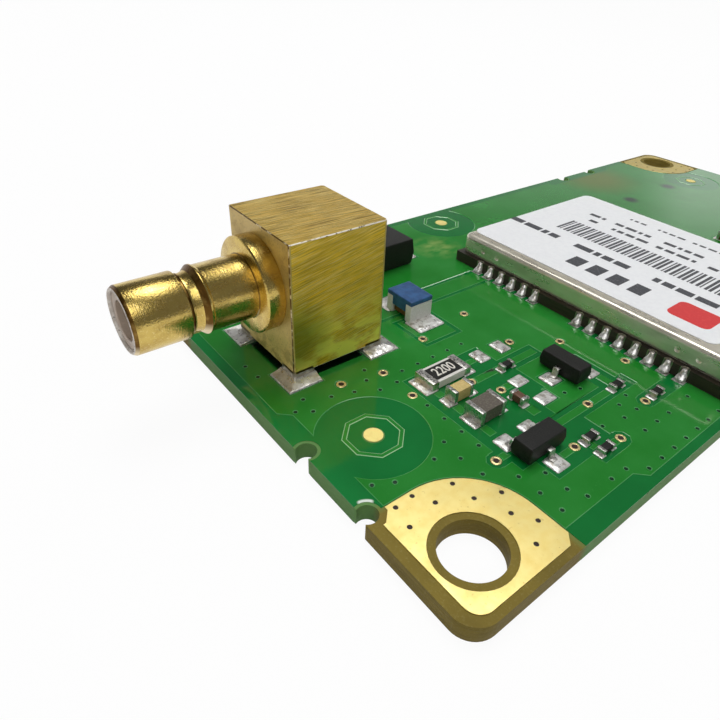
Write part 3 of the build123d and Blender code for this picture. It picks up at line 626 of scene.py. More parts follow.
pads = copy_of("corner_ground_pads", "gold_corner_pads")
trim_corners(pads)
soften(pads, 0.015, 2)
drills = [
    rod("drill", place(x, y, copper_top), pad_via_radius, 1, 16) for x, y in mirrored(pad_vias)
]
cut(pads, join("drills", drills))
pad_gold = new_finish("pad_gold", (0.93, 0.77, 0.30), 0.42, 1.0)
cloud(pad_gold, 0.5, 0.4, 0.75, 0.6, (0.86, 0.65, 0.20))
cloud(pad_gold, 0.2, 0.66, 0.78, 0.6, (0.55, 0.38, 0.10))
mottle(pad_gold, 1.0, 0.34, 0.5)
roughen(pad_gold, 0.07, 0.004)
fit(pads, pad_gold, "gold", "corner_ground_pads")

bottom_pads = copy_of("corner_ground_pads", "gold_corner_pads_bottom")
trim_corners(bottom_pads)
squeeze = film / (copper_top - board_top)
bottom_pads.scale = (1, 1, squeeze)
bottom_pads.location.z = board_low.z - squeeze * place(0, 0, board_top).z
alone(bottom_pads)
bpy.ops.object.transform_apply(location=True, scale=True)
fit(bottom_pads, pad_gold, "gold")

# Painted shade: dark discs sunk in the pads' open vias, and in the middle of the via rings below,
# stand in for the shade inside the holes.
via_shade_finish = new_finish("via_shadow", (0.035, 0.012, 0.004), 0.5)
lay(via_shade_finish, grain(via_shade_finish, 0.08), (0.012, 0.004, 0.002))
shade_discs = [
    rod("plug", place(x, y, board_top + shade_disc_depth / 2), pad_via_radius, shade_disc_depth, 16)
    for x, y in mirrored(pad_vias)
]
fit(join("pad_via_shade_discs", shade_discs), via_shade_finish, "gold")

# Locating dots: round copper spots with the pads' gold plating, bare in the middle of a clear
# ring. The machine that places the parts finds the board's position by them.
dot_radius = 0.52
dot_height = copper_top - board_top
dot_middle = board_top + dot_height / 2
dots = [rod("dot", place(x, y, dot_middle), dot_radius, dot_height) for x, y in dot_places]
dot_gold = new_finish("dot_gold", (1.0, 0.84, 0.30), 0.45, 0.5)
cloud(dot_gold, 0.25, 0.5, 0.75, 0.5, (0.90, 0.68, 0.22))
roughen(dot_gold, 0.1, 0.004)
fit(join("gold_locating_dots", dots), dot_gold, "gold", "locating_dots")

# Open vias: plated holes that the mask leaves clear, each in a copper ring that its gold plating
# rounds off.
ring_radius = 0.225
ring_thickness = 0.075
ring_squash = 0.5
ring_sink = 0.01
well_radius = 0.18
well_depth = 0.02
open_vias = [
    (4.9, 15.3), (7.55, 14.75), (7.58, 12.15), (11.25, 11.08), (12.13, 9.52), (7.6, 5.83),
    (15.27, 5.73), (11.7, 4.05), (14.3, 2.97), (18.3, 3.88), (16.4, 12.6), (19.25, 10.7),
    (20.95, 6.87), (16.45, 16.8), (11.95, 16.1),
]
rings = []
wells = []
for x, y in open_vias:
    bpy.ops.mesh.primitive_torus_add(
        major_radius=ring_radius * mm,
        minor_radius=ring_thickness * mm,
        major_segments=24,
        minor_segments=8,
        location=place(x, y, copper_top - ring_sink),
    )
    bpy.context.object.scale = (1, 1, ring_squash)
    rings.append(settled("ring"))
    # The well is a dark disc of painted shade in the ring's hole.
    wells.append(rod("well", place(x, y, copper_top), well_radius, well_depth, 16))
ring_gold = new_finish("ring_gold", (0.95, 0.78, 0.38), 0.35, 0.75)
mottle(ring_gold, 0.1, 0.2, 0.4)
fit(join("via_ring_plating", rings), ring_gold, "gold", "via_rings")
fit(join("via_shade_wells", wells), via_shade_finish, "gold")

# Solder on the lands: bright tin alloy, printed as paste and melted. It is lumpy where a land was
# left empty, with dark flux residue in it.
solder = new_finish("solder", (0.86, 0.85, 0.82), 0.35, 0.75)
cloud(solder, 0.35, 0.50, 0.66, 0.8, (0.36, 0.32, 0.26))
cloud(solder, 0.12, 0.6, 0.72, 0.6, (0.14, 0.12, 0.09))
mottle(solder, 0.3, 0.24, 0.5)
roughen(solder, 0.35, 0.04)
roughen(solder, 0.08, 0.006)


def loose_boxes(node):
    """The opposite corners of each separate solid of a CAD node."""
    piece = copy_of(node, "loose")
    bpy.ops.object.mode_set(mode="EDIT")
    bpy.ops.mesh.select_all(action="SELECT")
    bpy.ops.mesh.separate(type="LOOSE")
    leave_edit()
    boxes = []
    for part in list(bpy.context.selected_objects):
        corners = [Vector(corner) for corner in part.bound_box]
        boxes.append((corners[0], corners[6]))
        bpy.data.objects.remove(part)
    return boxes


def solder_lump(low, high):
    """A land's solder: a low dome with rounded corners."""
    side = min((high - low).xy)
    lump = block("lump", low, high)
    round_uprights(lump, side * 0.12 / mm, 3)
    choose_top(lump)
    for margin, rise in ((0.08, 0.04), (0.14, 0.03)):
        bpy.ops.mesh.inset(thickness=side * margin)
        bpy.ops.transform.translate(value=(0, 0, side * rise))
    leave_edit()
    add_modifier(lump, "SUBSURF", levels=2, render_levels=2)
    return lump


def dress(node, name, finish, slot, edge=0, steps=3):
    """A CAD node's shape with its finish on, and its edges broken where an edge is given."""
    piece = copy_of(node, name)
    if edge:
        soften(piece, edge, steps)
    return fit(piece, finish, slot, node)


lumps = [solder_lump(low, high) for low, high in loose_boxes("small_part_lands")]
fit(join("land_solder", lumps), solder, "solder", "small_part_lands")
dress("module_lands", "module_land_plating", solder, "solder")
land_tin = new_finish("land_tin", (0.82, 0.80, 0.75), 0.32, 0.8)
cloud(land_tin, 0.5, 0.42, 0.62, 0.7, (0.46, 0.42, 0.35))
mottle(land_tin, 0.3, 0.22, 0.5)
roughen(land_tin, 0.25, 0.02)
dress("connector_lands", "connector_land_plating", land_tin, "solder")

# Antenna connector, block: sawn from square brass bar, bored through, brushed on its faces and
# gold plated. It stands on four corner feet. Its rounded edges carry painted highlight and shade.
half_block = 3.175
foot_height = 0.45
block_height = 8.5
axis_height = 5.165
block_low = copper_top + foot_height
block_high = board_top + block_height
axis = place(connector_x, connector_y, board_top + axis_height)
bore_radius = 2.1
front_round = 0.11
rear_round = 0.22
block_edge = 0.1
foot_offset = 2.475
foot_half = 0.7
foot_sink = 0.2
foot_round = 0.12
feet = [(side_x, side_y) for side_x in (-1, 1) for side_y in (-1, 1)]


def square_bar(name, x, y, half, low, high):
    """An upright square bar about its middle."""
    return block(name, place(x - half, y - half, low), place(x + half, y + half, high))


shell = square_bar("shell", connector_x, connector_y, half_block, block_low, block_high)
cut(shell, rod("cutter", axis, bore_radius, 3 * half_block, 96, (0, math.pi / 2, 0)))
round_uprights(shell, front_round, 2, lambda x, y: x < connector_x)
round_uprights(shell, rear_round, 4, lambda x, y: x > connector_x)
soften(shell, block_edge, 3, 60)
stumps = [shell]
for side_x, side_y in feet:
    x = connector_x + side_x * foot_offset
    y = connector_y + side_y * foot_offset
    stump = square_bar("stump", x, y, foot_half, copper_top, block_low + foot_sink)
    round_uprights(stump, foot_round, 3)
    stumps.append(stump)
join("connector_brass_block", stumps)


def brushed(name, colour, metallic, turn, strength):
    """Gold plating over brush marks that run one way, dull in the marks and bright between them."""
    finish = new_finish(name, colour, 0.3, metallic)
    marks = grain(finish, (2.6, 0.05, 0.05), turn, 3.0)
    fine_marks = grain(finish, (1.4, 0.03, 0.03), turn, 2.0)
    clouds = grain(finish, (1.5, 0.8, 0.8), turn, 4.0)
    lay(finish, spread(finish, clouds, 0.45, 0.62, 0, 0.4), [0.6 * part for part in colour])
    lay(finish, spread(finish, marks, 0.47, 0.60, 0, strength), (0.17, 0.095, 0.006))
    lay(finish, spread(finish, fine_marks, 0.52, 0.62, 0, strength), (0.95, 0.76, 0.26))
    polish(finish, marks, 0.26, 0.5)
    dent(finish, marks, 0.012)
    dent(finish, fine_marks, 0.006)
    roughen(finish, 0.09, 0.006)
    return finish


brushed_top = brushed("brushed_top", (0.76, 0.49, 0.055), 0.8, (0, 0, -2), 0.8)
brushed_side = brushed("brushed_side", (0.84, 0.54, 0.03), 0.5, (0, -11, 0), 0.55)
sawn_end = new_finish("sawn_end", (0.56, 0.40, 0.115), 0.38, 0.5)
end_clouds = grain(sawn_end, 1.1, detail=5.0)
low_down = along(sawn_end, "Z", 5.0, 2.0)
stains = grain(sawn_end, 0.7, detail=5.0)
stain = combine(sawn_end, "MULTIPLY", spread(sawn_end, stains, 0.5, 0.6, 0, 0.45), low_down)
lay(sawn_end, spread(sawn_end, end_clouds, 0.5, 0.7, 0, 0.6), (0.34, 0.22, 0.06))
# Painted light: the ends are laid pale gold towards the bottom.
lay(sawn_end, combine(sawn_end, "MULTIPLY", low_down, 0.7), (0.95, 0.72, 0.24))
lay(sawn_end, stain, (0.27, 0.17, 0.04))
cloud(sawn_end, 0.1, 0.55, 0.7, 0.5, (0.20, 0.12, 0.03))
polish(sawn_end, end_clouds, 0.28, 0.5)
roughen(sawn_end, 0.12, 0.012)
# Painted light: the side faces are laid bright yellow in patches towards their lower part.
low_end = along(brushed_side, "Z", 6.0, 2.2)
painted_light_patches = spread(brushed_side, grain(brushed_side, (1.6, 1, 0.9)), 0.42, 0.56)
painted_low_light = combine(brushed_side, "MULTIPLY", painted_light_patches, low_end)
lay(brushed_side, painted_low_light, (1.0, 0.88, 0.14))
# Painted reflection and painted shade: a dark olive green, for the green board mirrored there, is
# laid round the near left lower corner of the side faces.
green_reflection_corner = place(connector_x - half_block, connector_y - half_block, block_low + 2.2)
lay(brushed_side, near(brushed_side, green_reflection_corner, 2.8, 1.0, 0.75), (0.13, 0.16, 0.005))
# Painted shade and painted highlight: the rounded upper edges, and the −X half of the near left
# upright edge, take a dark finish with pale specks where they face away, and a near-white one with
# dark specks where they face the near side or the right end.
painted_edge_shade = new_finish("painted_edge_shade", (0.14, 0.075, 0.02), 0.4, 0.8)
cloud(painted_edge_shade, 0.3, 0.52, 0.60, 0.9, (0.80, 0.68, 0.42))
roughen(painted_edge_shade, 0.1, 0.02)
painted_edge_highlight = new_finish("painted_edge_highlight", (1.0, 0.95, 0.84), 0.4, 0.6)
cloud(painted_edge_highlight, 0.2, 0.57, 0.63, 0.9, (0.12, 0.06, 0.015))
cloud(painted_edge_highlight, 0.8, 0.52, 0.62, 0.6, (0.70, 0.55, 0.28))
roughen(painted_edge_highlight, 0.1, 0.02)
foot_metal = new_finish("foot_metal", (0.88, 0.87, 0.84), 0.28, 0.8)
cloud(foot_metal, 0.6, 0.45, 0.65, 0.7, (0.50, 0.47, 0.41))
mottle(foot_metal, 0.4, 0.2, 0.42)
roughen(foot_metal, 0.5, 0.05)
foot_side = new_finish("foot_side", (0.40, 0.36, 0.28), 0.36, 0.8)
cloud(foot_side, 0.3, 0.5, 0.65, 0.7, (0.70, 0.67, 0.60))
for finish in (brushed_top, brushed_side, sawn_end, painted_edge_shade, painted_edge_highlight, foot_side):
    shell.data.materials.append(finish)
# Faces are sorted by where they point; which edge finish an edge gets, painted highlight or painted
# shade, goes by the side it faces.
for face in shell.data.polygons:
    across = [abs(part) > 0.99 for part in (face.normal.z, face.normal.y, face.normal.x)]
    if any(across):
        face.material_index = across.index(True)
    elif abs(face.normal.z) < 0.2 and face.normal.x < -0.2 and face.normal.y < -0.2:
        face.material_index = 3 if face.normal.x < face.normal.y else 2
    elif abs(face.normal.z) < 0.2:
        face.material_index = 2
    else:
        face.material_index = 4 if face.normal.y < -0.2 or face.normal.x > 0.2 else 3
    if face.center.z < place(0, 0, block_low).z:
        face.material_index = 5
fit(shell, brushed_side, "connector_gold", "connector_block")

# Antenna connector, barrel: turned from brass bar in one piece with its collar, then gold plated.
# The plug of the antenna lead latches in the groove behind its rim.


def turned(name, profile, steps=96):
    """A lathe-turned piece: its half section, from point to point, spun about the barrel's axis."""
    reach, radius = profile[0]
    bpy.ops.mesh.primitive_plane_add(size=mm, location=axis + Vector((-reach, 0, radius)) * mm)
    piece = settled(name)
    bpy.context.tool_settings.mesh_select_mode = (True, False, False)
    bpy.ops.object.mode_set(mode="EDIT")
    bpy.ops.mesh.select_all(action="SELECT")
    bpy.ops.mesh.merge(type="CENTER")
    for (reach, radius), (next_reach, next_radius) in zip(profile, profile[1:]):
        step = Vector((reach - next_reach, 0, next_radius - radius)) * mm
        bpy.ops.mesh.extrude_region_move(TRANSFORM_OT_translate={"value": step})
    bpy.ops.mesh.select_all(action="SELECT")
    bpy.ops.mesh.spin(steps=steps, angle=2 * math.pi, center=axis, axis=(1, 0, 0))
    bpy.ops.mesh.select_all(action="SELECT")
    bpy.ops.mesh.remove_doubles(threshold=hair)
    bpy.ops.mesh.normals_make_consistent(inside=False)
    leave_edit()
    return piece


barrel_reach = 10.8
barrel_radius = 1.8
mouth_radius = 1.5
groove_radius = 1.53
ridge_radius = 1.87
collar_radius = 2.72
collar_front = half_block + 1.065
tail = half_block - 1.4
barrel = turned(
    "connector_turned_barrel",
    [
        (tail, mouth_radius), (barrel_reach - 0.22, mouth_radius), (barrel_reach - 0.03, 1.58),
        (barrel_reach, 1.60), (barrel_reach, 1.66), (barrel_reach - 0.03, 1.70),
        (barrel_reach - 0.16, 1.78), (barrel_reach - 0.2, barrel_radius), (7.93, barrel_radius),
        (7.89, 1.785), (7.84, 1.56), (7.80, groove_radius), (7.72, groove_radius), (7.69, 1.60),
        (7.62, 1.60), (7.59, groove_radius), (7.24, 1.60), (7.20, 1.63), (6.95, 1.84),
        (6.91, ridge_radius), (6.83, ridge_radius), (6.79, 1.85), (6.73, 1.81),
        (6.70, barrel_radius), (collar_front + 0.04, barrel_radius),
        (collar_front, barrel_radius + 0.04), (collar_front, 2.60), (collar_front - 0.03, 2.66),
        (collar_front - 0.09, collar_radius), (half_block + 0.05, collar_radius),
        (half_block + 0.005, 2.69), (half_block, bore_radius), (tail, bore_radius),
        (tail, mouth_radius),
    ],
)
turned_gold = new_finish("turned_gold", (0.62, 0.455, 0.13), 0.2, 1.0)
barrel_clouds = grain(turned_gold, (0.9, 0.7, 0.7), detail=4.0)
lay(turned_gold, spread(turned_gold, barrel_clouds, 0.45, 0.7, 0, 0.6), (0.42, 0.27, 0.07))
cloud(turned_gold, 0.09, 0.58, 0.7, 0.5, (0.85, 0.68, 0.34))
polish(turned_gold, barrel_clouds, 0.14, 0.32)
roughen(turned_gold, (0.05, 4.0, 4.0), 0.006)
roughen(turned_gold, 0.12, 0.012)
# Painted shade: a dark finish for the barrel's groove walls, steps and rim chamfer, laid pale
# towards the bottom as painted light.
groove_shade = new_finish("groove_shade", (0.13, 0.065, 0.014), 0.35, 1.0)
cloud(groove_shade, 0.6, 0.5, 0.65, 0.6, (0.40, 0.25, 0.07))
lay(groove_shade, along(groove_shade, "Z", 5.6, 5.0, 0.9), (0.80, 0.66, 0.40))
roughen(groove_shade, 0.1, 0.015)
bare_rim = new_finish("bare_rim", (0.56, 0.50, 0.44), 0.55, 0.4)
cloud(bare_rim, 0.3, 0.45, 0.6, 0.7, (0.76, 0.72, 0.66))
cloud(bare_rim, 0.15, 0.6, 0.68, 0.7, (0.15, 0.12, 0.10))
roughen(bare_rim, 0.1, 0.015)
for finish in (turned_gold, groove_shade, bare_rim):
    barrel.data.materials.append(finish)
# The bands of painted shade, as reaches along the axis in millimetres; the mouth's inner chamfer
# takes the bare rim finish.
shaded_bands = (
    (6.93, 7.21), (7.58, 7.61), (7.70, 7.90), (collar_front, collar_front + 0.05),
    (barrel_reach - 0.2, barrel_reach - 0.05),
)
for face in barrel.data.polygons:
    reach = (axis.x - face.center.x) / mm
    radius = (face.center - axis).yz.length / mm
    dull = any(low < reach < high for low, high in shaded_bands) and 1.52 < radius < 1.9
    face.material_index = 2 if reach > barrel_reach - 0.21 and radius < 1.69 else int(dull)
fit(barrel, turned_gold, "connector_gold", "connector_barrel")

# Antenna connector, insides: a pale plastic insulator with a socket for the plug, the centre pin,
# the insulator of its stem, and the pressed cap that closes the back.
socket_radius = 1.05
socket_depth = 3.2
insulator_front = barrel_reach - 0.15
pin_radius = 0.25
insulator = turned(
    "connector_front_insulator",
    [
        (tail, pin_radius), (tail, mouth_radius), (insulator_front - 0.05, mouth_radius),
        (insulator_front, mouth_radius - 0.05), (insulator_front, socket_radius + 0.04),
        (insulator_front - 0.04, socket_radius),
        (insulator_front - socket_depth, socket_radius),
        (insulator_front - socket_depth, pin_radius), (tail, pin_radius),
    ],
    64,
)
# Painted shade: the plastic is white, but its colour here is a dark grey-brown for the shade inside
# the barrel's mouth.
plastic = new_finish("insulator_plastic", (0.47, 0.37, 0.29), 0.45)
cloud(plastic, 0.6, 0.4, 0.7, 0.5, (0.38, 0.30, 0.24))
roughen(plastic, 0.1, 0.005)
fit(insulator, plastic, "insulator_white", "connector_insulator")
pin = turned(
    "connector_turned_pin",
    [
        (-pin_radius, 0), (-pin_radius, pin_radius), (9.93, pin_radius), (10.0, 0.22),
        (10.05, 0.13), (10.05, 0),
    ],
    32,
)
stem_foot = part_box("connector_centre_pin")[0].z
stem_middle = Vector((axis.x, axis.y, (axis.z + stem_foot) / 2))
stem = rod("stem", stem_middle, pin_radius, (axis.z - stem_foot) / mm, 32)
join("connector_pin_and_stem", [pin, stem])
fit(pin, turned_gold, "connector_gold", "connector_centre_pin")
dress("connector_stem_insulator", "stem_insulator", plastic, "insulator_white")
dress("connector_rear_cap", "connector_pressed_cap", turned_gold, "connector_gold", 0.02, 2)

# Solder round the connector's four feet: it wets the land and climbs the foot's sides, and holds
# the block to the board.
land_offset = 2.855
land_half = 1.08
solder_sink = 0.02
solder_skirt = 0.06
heap_steps = ((0.2, 0.2, 0.09), (0.12, 0.18, 0.08))
heap_edge = 0.09
foot_solder = []
for side_x, side_y in feet:
    x = connector_x + side_x * land_offset
    y = connector_y + side_y * land_offset
    heap = square_bar("heap", x, y, land_half, copper_top - solder_sink, copper_top + solder_skirt)
    choose_top(heap)
    for margin, shift, rise in heap_steps:
        bpy.ops.mesh.inset(thickness=margin * mm)
        bpy.ops.transform.translate(value=Vector((-side_x * shift, -side_y * shift, rise)) * mm)
    leave_edit()
    soften(heap, heap_edge, 4, 10)
    foot_solder.append(heap)
fit(join("foot_solder", foot_solder), foot_metal, "solder", "connector_solder")

# Receiver module: a small board with half-round plated terminals along two edges, each soldered to
# its land by a column with a flared foot.
module_low, module_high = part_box("receiver_substrate")
module_board = new_finish("module_board", (0.030, 0.022, 0.012), 0.5)
cloud(module_board, (1.5, 1.5, 0.1), 0.4, 0.7, 1, (0.012, 0.010, 0.006))
roughen(module_board, 0.1, 0.01)
dress("receiver_substrate", "module_substrate", module_board, "substrate")
plating = new_finish("terminal_plating", (0.62, 0.58, 0.50), 0.35, 1.0)
cloud(plating, (0.15, 0.15, 0.3), 0.4, 0.7, 1, (0.34, 0.32, 0.29))
roughen(plating, 0.1, 0.01)
dress("receiver_terminals", "module_terminals", plating, "gold")
module_middle = (module_low + module_high) / 2
joint_half = 0.36
joint_reach = 0.5
joint_back = 0.2
joint_height = 0.2
joint_steps = ((0.12, 0.75, 0.1), (0.2, 0.75, 0.09), (0.25, 0.9, 0.02))
column_back = 0.05


def terminal_solder(low, high):
    """One joint: a foot on the land, and a column up the groove."""
    side = 1 if low.x > module_middle.x else -1
    inner_x = module_high.x if side > 0 else module_low.x
    middle_y = (low.y + high.y) / 2
    outer_x = inner_x + side * joint_reach * mm
    back_x = inner_x - side * joint_back * mm
    foot = block(
        "joint",
        Vector((min(outer_x, back_x), middle_y - joint_half * mm, low.z)),
        Vector((max(outer_x, back_x), middle_y + joint_half * mm, low.z + joint_height * mm)),
    )
    choose_top(foot)
    column = (inner_x - side * column_back * mm, middle_y, 0)
    for rise, share, shift in joint_steps:
        step = (-side * shift * mm, 0, rise * mm)
        bpy.ops.mesh.extrude_region_move(TRANSFORM_OT_translate={"value": step})
        bpy.ops.transform.resize(value=(share, share, 1), center_override=column)
    leave_edit()
    add_modifier(foot, "SUBSURF", levels=2, render_levels=2)
    return foot


joints = [terminal_solder(low, high) for low, high in loose_boxes("receiver_solder")]
fit(join("terminal_joints", joints), solder, "solder", "receiver_solder")

# Shield lid: a drawn pan of tinned steel over the module, with rounded edges, and dimples in its
# skirt that latch it to the frame below.
lid_low, lid_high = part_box("shield_lid")
lid_middle = (lid_low + lid_high) / 2
lid_wall = 0.15
lid_corner = 0.5
lid_edge = 0.3
latch_radius = 0.3
latch_reach = 0.22
latch_height = 2.6
latch_places = (-8.8, -7.4, 7.4, 8.8)
lid = block("shield_pan", lid_low, lid_high)
round_uprights(lid, lid_corner, 8)
choose_top(lid)
bpy.ops.mesh.bevel(offset=lid_edge * mm, segments=6, affect="EDGES")
leave_edit()
hollow_low = lid_low + Vector((lid_wall, lid_wall, -1)) * mm
hollow_high = lid_high - Vector((lid_wall, lid_wall, lid_wall)) * mm
cut(lid, block("cutter", hollow_low, hollow_high))
for x in (lid_low.x - latch_reach * mm, lid_high.x + latch_reach * mm):
    for offset in latch_places:
        bpy.ops.mesh.primitive_uv_sphere_add(
            segments=24,
            ring_count=16,
            radius=latch_radius * mm,
            location=(x, lid_middle.y + offset * mm, board_low.z + latch_height * mm),
        )
        cut(lid, settled("cutter"))
soften(lid, 0.02, 2, 40)
tinned_steel = new_finish("tinned_steel", (0.88, 0.83, 0.70), 0.32, 0.75)
cloud(tinned_steel, (3.0, 3.0, 1.0), 0.4, 0.7, 0.6, (0.52, 0.47, 0.37))
mottle(tinned_steel, (0.3, 2.0, 0.3), 0.22, 0.4)
roughen(tinned_steel, (0.2, 3.0, 0.2), 0.006)
roughen(tinned_steel, 0.1, 0.004)
fit(lid, tinned_steel, "shield", "shield_lid")
dress("shield_frame", "shield_frame_wall", tinned_steel, "shield")

# Label on the lid: white plastic film with an adhesive back, printed with a generic pattern of
# bars and dashes and a plain red band.
label_top = (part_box("receiver_label")[1].z - board_low.z) / mm
print_sink = 0.001
print_height = 0.004
label_white = new_finish("label_white", (0.80, 0.81, 0.82), 0.45)
cloud(label_white, 0.3, 0.4, 0.7, 0.6, (0.74, 0.75, 0.77))
roughen(label_white, 0.1, 0.004)
dress("receiver_label", "white_label", label_white, "label_white", 0.02, 2)


def printed(x0, y0, x1, y1):
    """A printed bar between two corners on the label."""
    low = place(x0, y0, label_top - print_sink)
    return block("print", low, place(x1, y1, label_top + print_height))


ink = []
y = 5.2
for n in range(44):
    thickness = 0.11 * (1 + (7 * n * n + 3 * n) % 3)
    ink.append(printed(29.7, y, 32.1, y + thickness))
    y += thickness + 0.1 * (1 + (5 * n) % 2)
for row, (x, size) in enumerate([(27.7, 0.7), (33.2, 0.45), (34.5, 0.45), (36.6, 0.3)]):
    y = 4.4 + 0.8 * row
    for n in range(16):
        dash = size * (0.7 + 0.5 * ((3 * n + row) % 4))
        if (n + row) % 5:
            ink.append(printed(x, y, x + size, y + dash))
        y += dash + 0.22
for n in range(4):
    ink.append(printed(24.9, 9.0 + 1.7 * n, 26.4, 10.1 + 1.7 * n))
black_ink = new_finish("black_ink", (0.045, 0.047, 0.055), 0.5)
cloud(black_ink, 0.15, 0.5, 0.75, 1, (0.12, 0.12, 0.13))
fit(join("label_bars", ink), black_ink, "label_white")
band = printed(24.45, 4.1, 26.85, 7.0)
band.name = "red_band"
round_uprights(band, 0.5, 6)
red_ink = new_finish("red_ink", (0.62, 0.028, 0.030), 0.45)
cloud(red_ink, 0.2, 0.5, 0.8, 0.5, (0.75, 0.07, 0.06))
fit(band, red_ink, "label_white")

# Parts inside the shield: sealed packages, a filter, crystals in metal cans and small capacitors,
# all soldered flat to the module's board.


def moulding(name, colour, roughness):
    """Black or dark epoxy moulding: fine matt grain."""
    finish = new_finish(name, colour, roughness)
    shader_input(finish, "Specular IOR Level").default_value = 0.3
    cloud(finish, 0.08, 0.5, 0.75, 0.5, [3 * part + 0.01 for part in colour])
    roughen(finish, 0.06, 0.008)
    return finish


def ceramic(name, colour, pale):
    """Fired ceramic: a fine mottled grain."""
    finish = new_finish(name, colour, 0.4)
    cloud(finish, 0.1, 0.45, 0.7, 1, pale)
    roughen(finish, 0.07, 0.006)
    return finish


black_moulding = moulding("black_moulding", (0.008, 0.008, 0.007), 0.45)
white_ceramic = ceramic("white_ceramic", (0.62, 0.61, 0.57), (0.72, 0.71, 0.68))
tan_ceramic = ceramic("tan_ceramic", (0.52, 0.39, 0.14), (0.64, 0.50, 0.21))
grey_ceramic = ceramic("grey_ceramic", (0.085, 0.072, 0.055), (0.16, 0.14, 0.11))
brown_ceramic = ceramic("brown_ceramic", (0.10, 0.045, 0.025), (0.17, 0.085, 0.05))
dress("receiver_chip", "receiver_chip_package", black_moulding, "black_moulding", 0.05)
dress("memory_chip", "memory_chip_package", black_moulding, "black_moulding", 0.05)
dress("signal_amplifier", "signal_amplifier_package", black_moulding, "black_moulding", 0.04)
dress("antenna_filter", "antenna_filter_package", white_ceramic, "ceramic_white", 0.04)
dress("reference_crystal", "reference_crystal_can", tinned_steel, "crystal_can", 0.06)
dress("clock_crystal", "clock_crystal_can", tinned_steel, "crystal_can", 0.06)
dress("inner_capacitors", "inner_capacitor_chips", brown_ceramic, "ceramic_brown", 0.04)

# Surge diode: a block moulded in black epoxy round two flat tinned terminals, which turn in under
# it and are soldered to their lands.
dress("surge_diode_body", "surge_diode_moulding", black_moulding, "black_moulding", 0.09)
tin = new_finish("tin", (0.72, 0.70, 0.66), 0.28, 1.0)
cloud(tin, 0.2, 0.45, 0.75, 0.6, (0.45, 0.43, 0.40))
mottle(tin, 0.15, 0.2, 0.42)
roughen(tin, 0.1, 0.008)
dress("surge_diode_leads", "surge_diode_terminals", tin, "tin", 0.04)

# Choke: enamelled copper wire wound on a ceramic bobbin. A cap of blue resin over it gives the
# placing machine a flat top to lift it by.
dress("choke_core", "choke_bobbin", white_ceramic, "ceramic_white", 0.06)
wire = new_finish("enamelled_wire", (0.42, 0.17, 0.06), 0.3, 0.8)
cloud(wire, 0.3, 0.4, 0.7, 1, (0.25, 0.09, 0.03))
dress("choke_winding", "choke_wire", wire, "wire", 0.045)
blue_resin = new_finish("blue_resin", (0.022, 0.070, 0.185), 0.3)
cloud(blue_resin, 0.5, 0.4, 0.7, 1, (0.035, 0.115, 0.28))
roughen(blue_resin, 0.3, 0.02)
dress("choke_cap", "choke_resin_cap", blue_resin, "blue_cap", 0.08)

# Large resistor: a chip of fired ceramic with silvery plated ends. Its black coat carries printed
# plain digits.
dress("resistor_body", "resistor_ceramic", white_ceramic, "ceramic_white", 0.02)
dress("resistor_ends", "resistor_caps", tin, "tin", 0.025)
dress("resistor_coat", "resistor_black_coat", black_moulding, "black_moulding", 0.008)
coat_top = (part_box("resistor_coat")[1].z - board_low.z) / mm
digit_place = (10.22, 12.43)
digit_height = 0.003
bpy.ops.object.text_add(location=(0, 0, 0))
digits = bpy.context.object
digits.data.body = "2200"
digits.data.size = 1.0 * mm
digits.data.align_x = "CENTER"
digits.data.align_y = "CENTER"
digits.data.extrude = digit_height * mm
digits.data.offset = 0.012 * mm
bpy.ops.object.convert(target="MESH")
digits = bpy.context.object
digits.scale.x = 0.78
digits.location = place(*digit_place, coat_top + digit_height)
settled("resistor_digits")
digit_white = new_finish("digit_white", (0.70, 0.68, 0.62), 0.5)
cloud(digit_white, 0.1, 0.5, 0.7, 0.6, (0.45, 0.43, 0.38))
fit(digits, digit_white, "ceramic_white")

# Small two-ended chips: capacitors and resistors of fired ceramic, with plated ends by which they
# are soldered.
dress("tan_capacitor_body", "tan_capacitor_ceramic", tan_ceramic, "ceramic_tan", 0.03)
dress("tan_capacitor_ends", "tan_capacitor_caps", tin, "tin", 0.03)
dress("grey_capacitor_body", "grey_capacitor_ceramic", grey_ceramic, "ceramic_grey", 0.03)
dress("grey_capacitor_ends", "grey_capacitor_caps", tin, "tin", 0.04)
dress("brown_capacitor_bodies", "brown_capacitor_ceramics", brown_ceramic, "ceramic_brown", 0.02)
dress("small_resistor_bodies", "small_resistor_ceramics", black_moulding, "black_moulding", 0.02)
dress("small_chip_ends", "small_chip_caps", tin, "tin", 0.02)

# Transistors: black epoxy mouldings, each on three bent tinned leads that are soldered to their
# lands.
dress("transistor_bodies", "transistor_mouldings", black_moulding, "black_moulding", 0.06)
dress("transistor_leads", "transistor_terminals", tin, "tin", 0.02)

# Host connector at the right end: square tinned pins pressed into a black moulded carrier, and
# bent out to their lands.
dress("host_connector_body", "host_carrier", black_moulding, "black_moulding", 0.1)
dress("host_connector_pins", "host_pins", tin, "tin", 0.06)

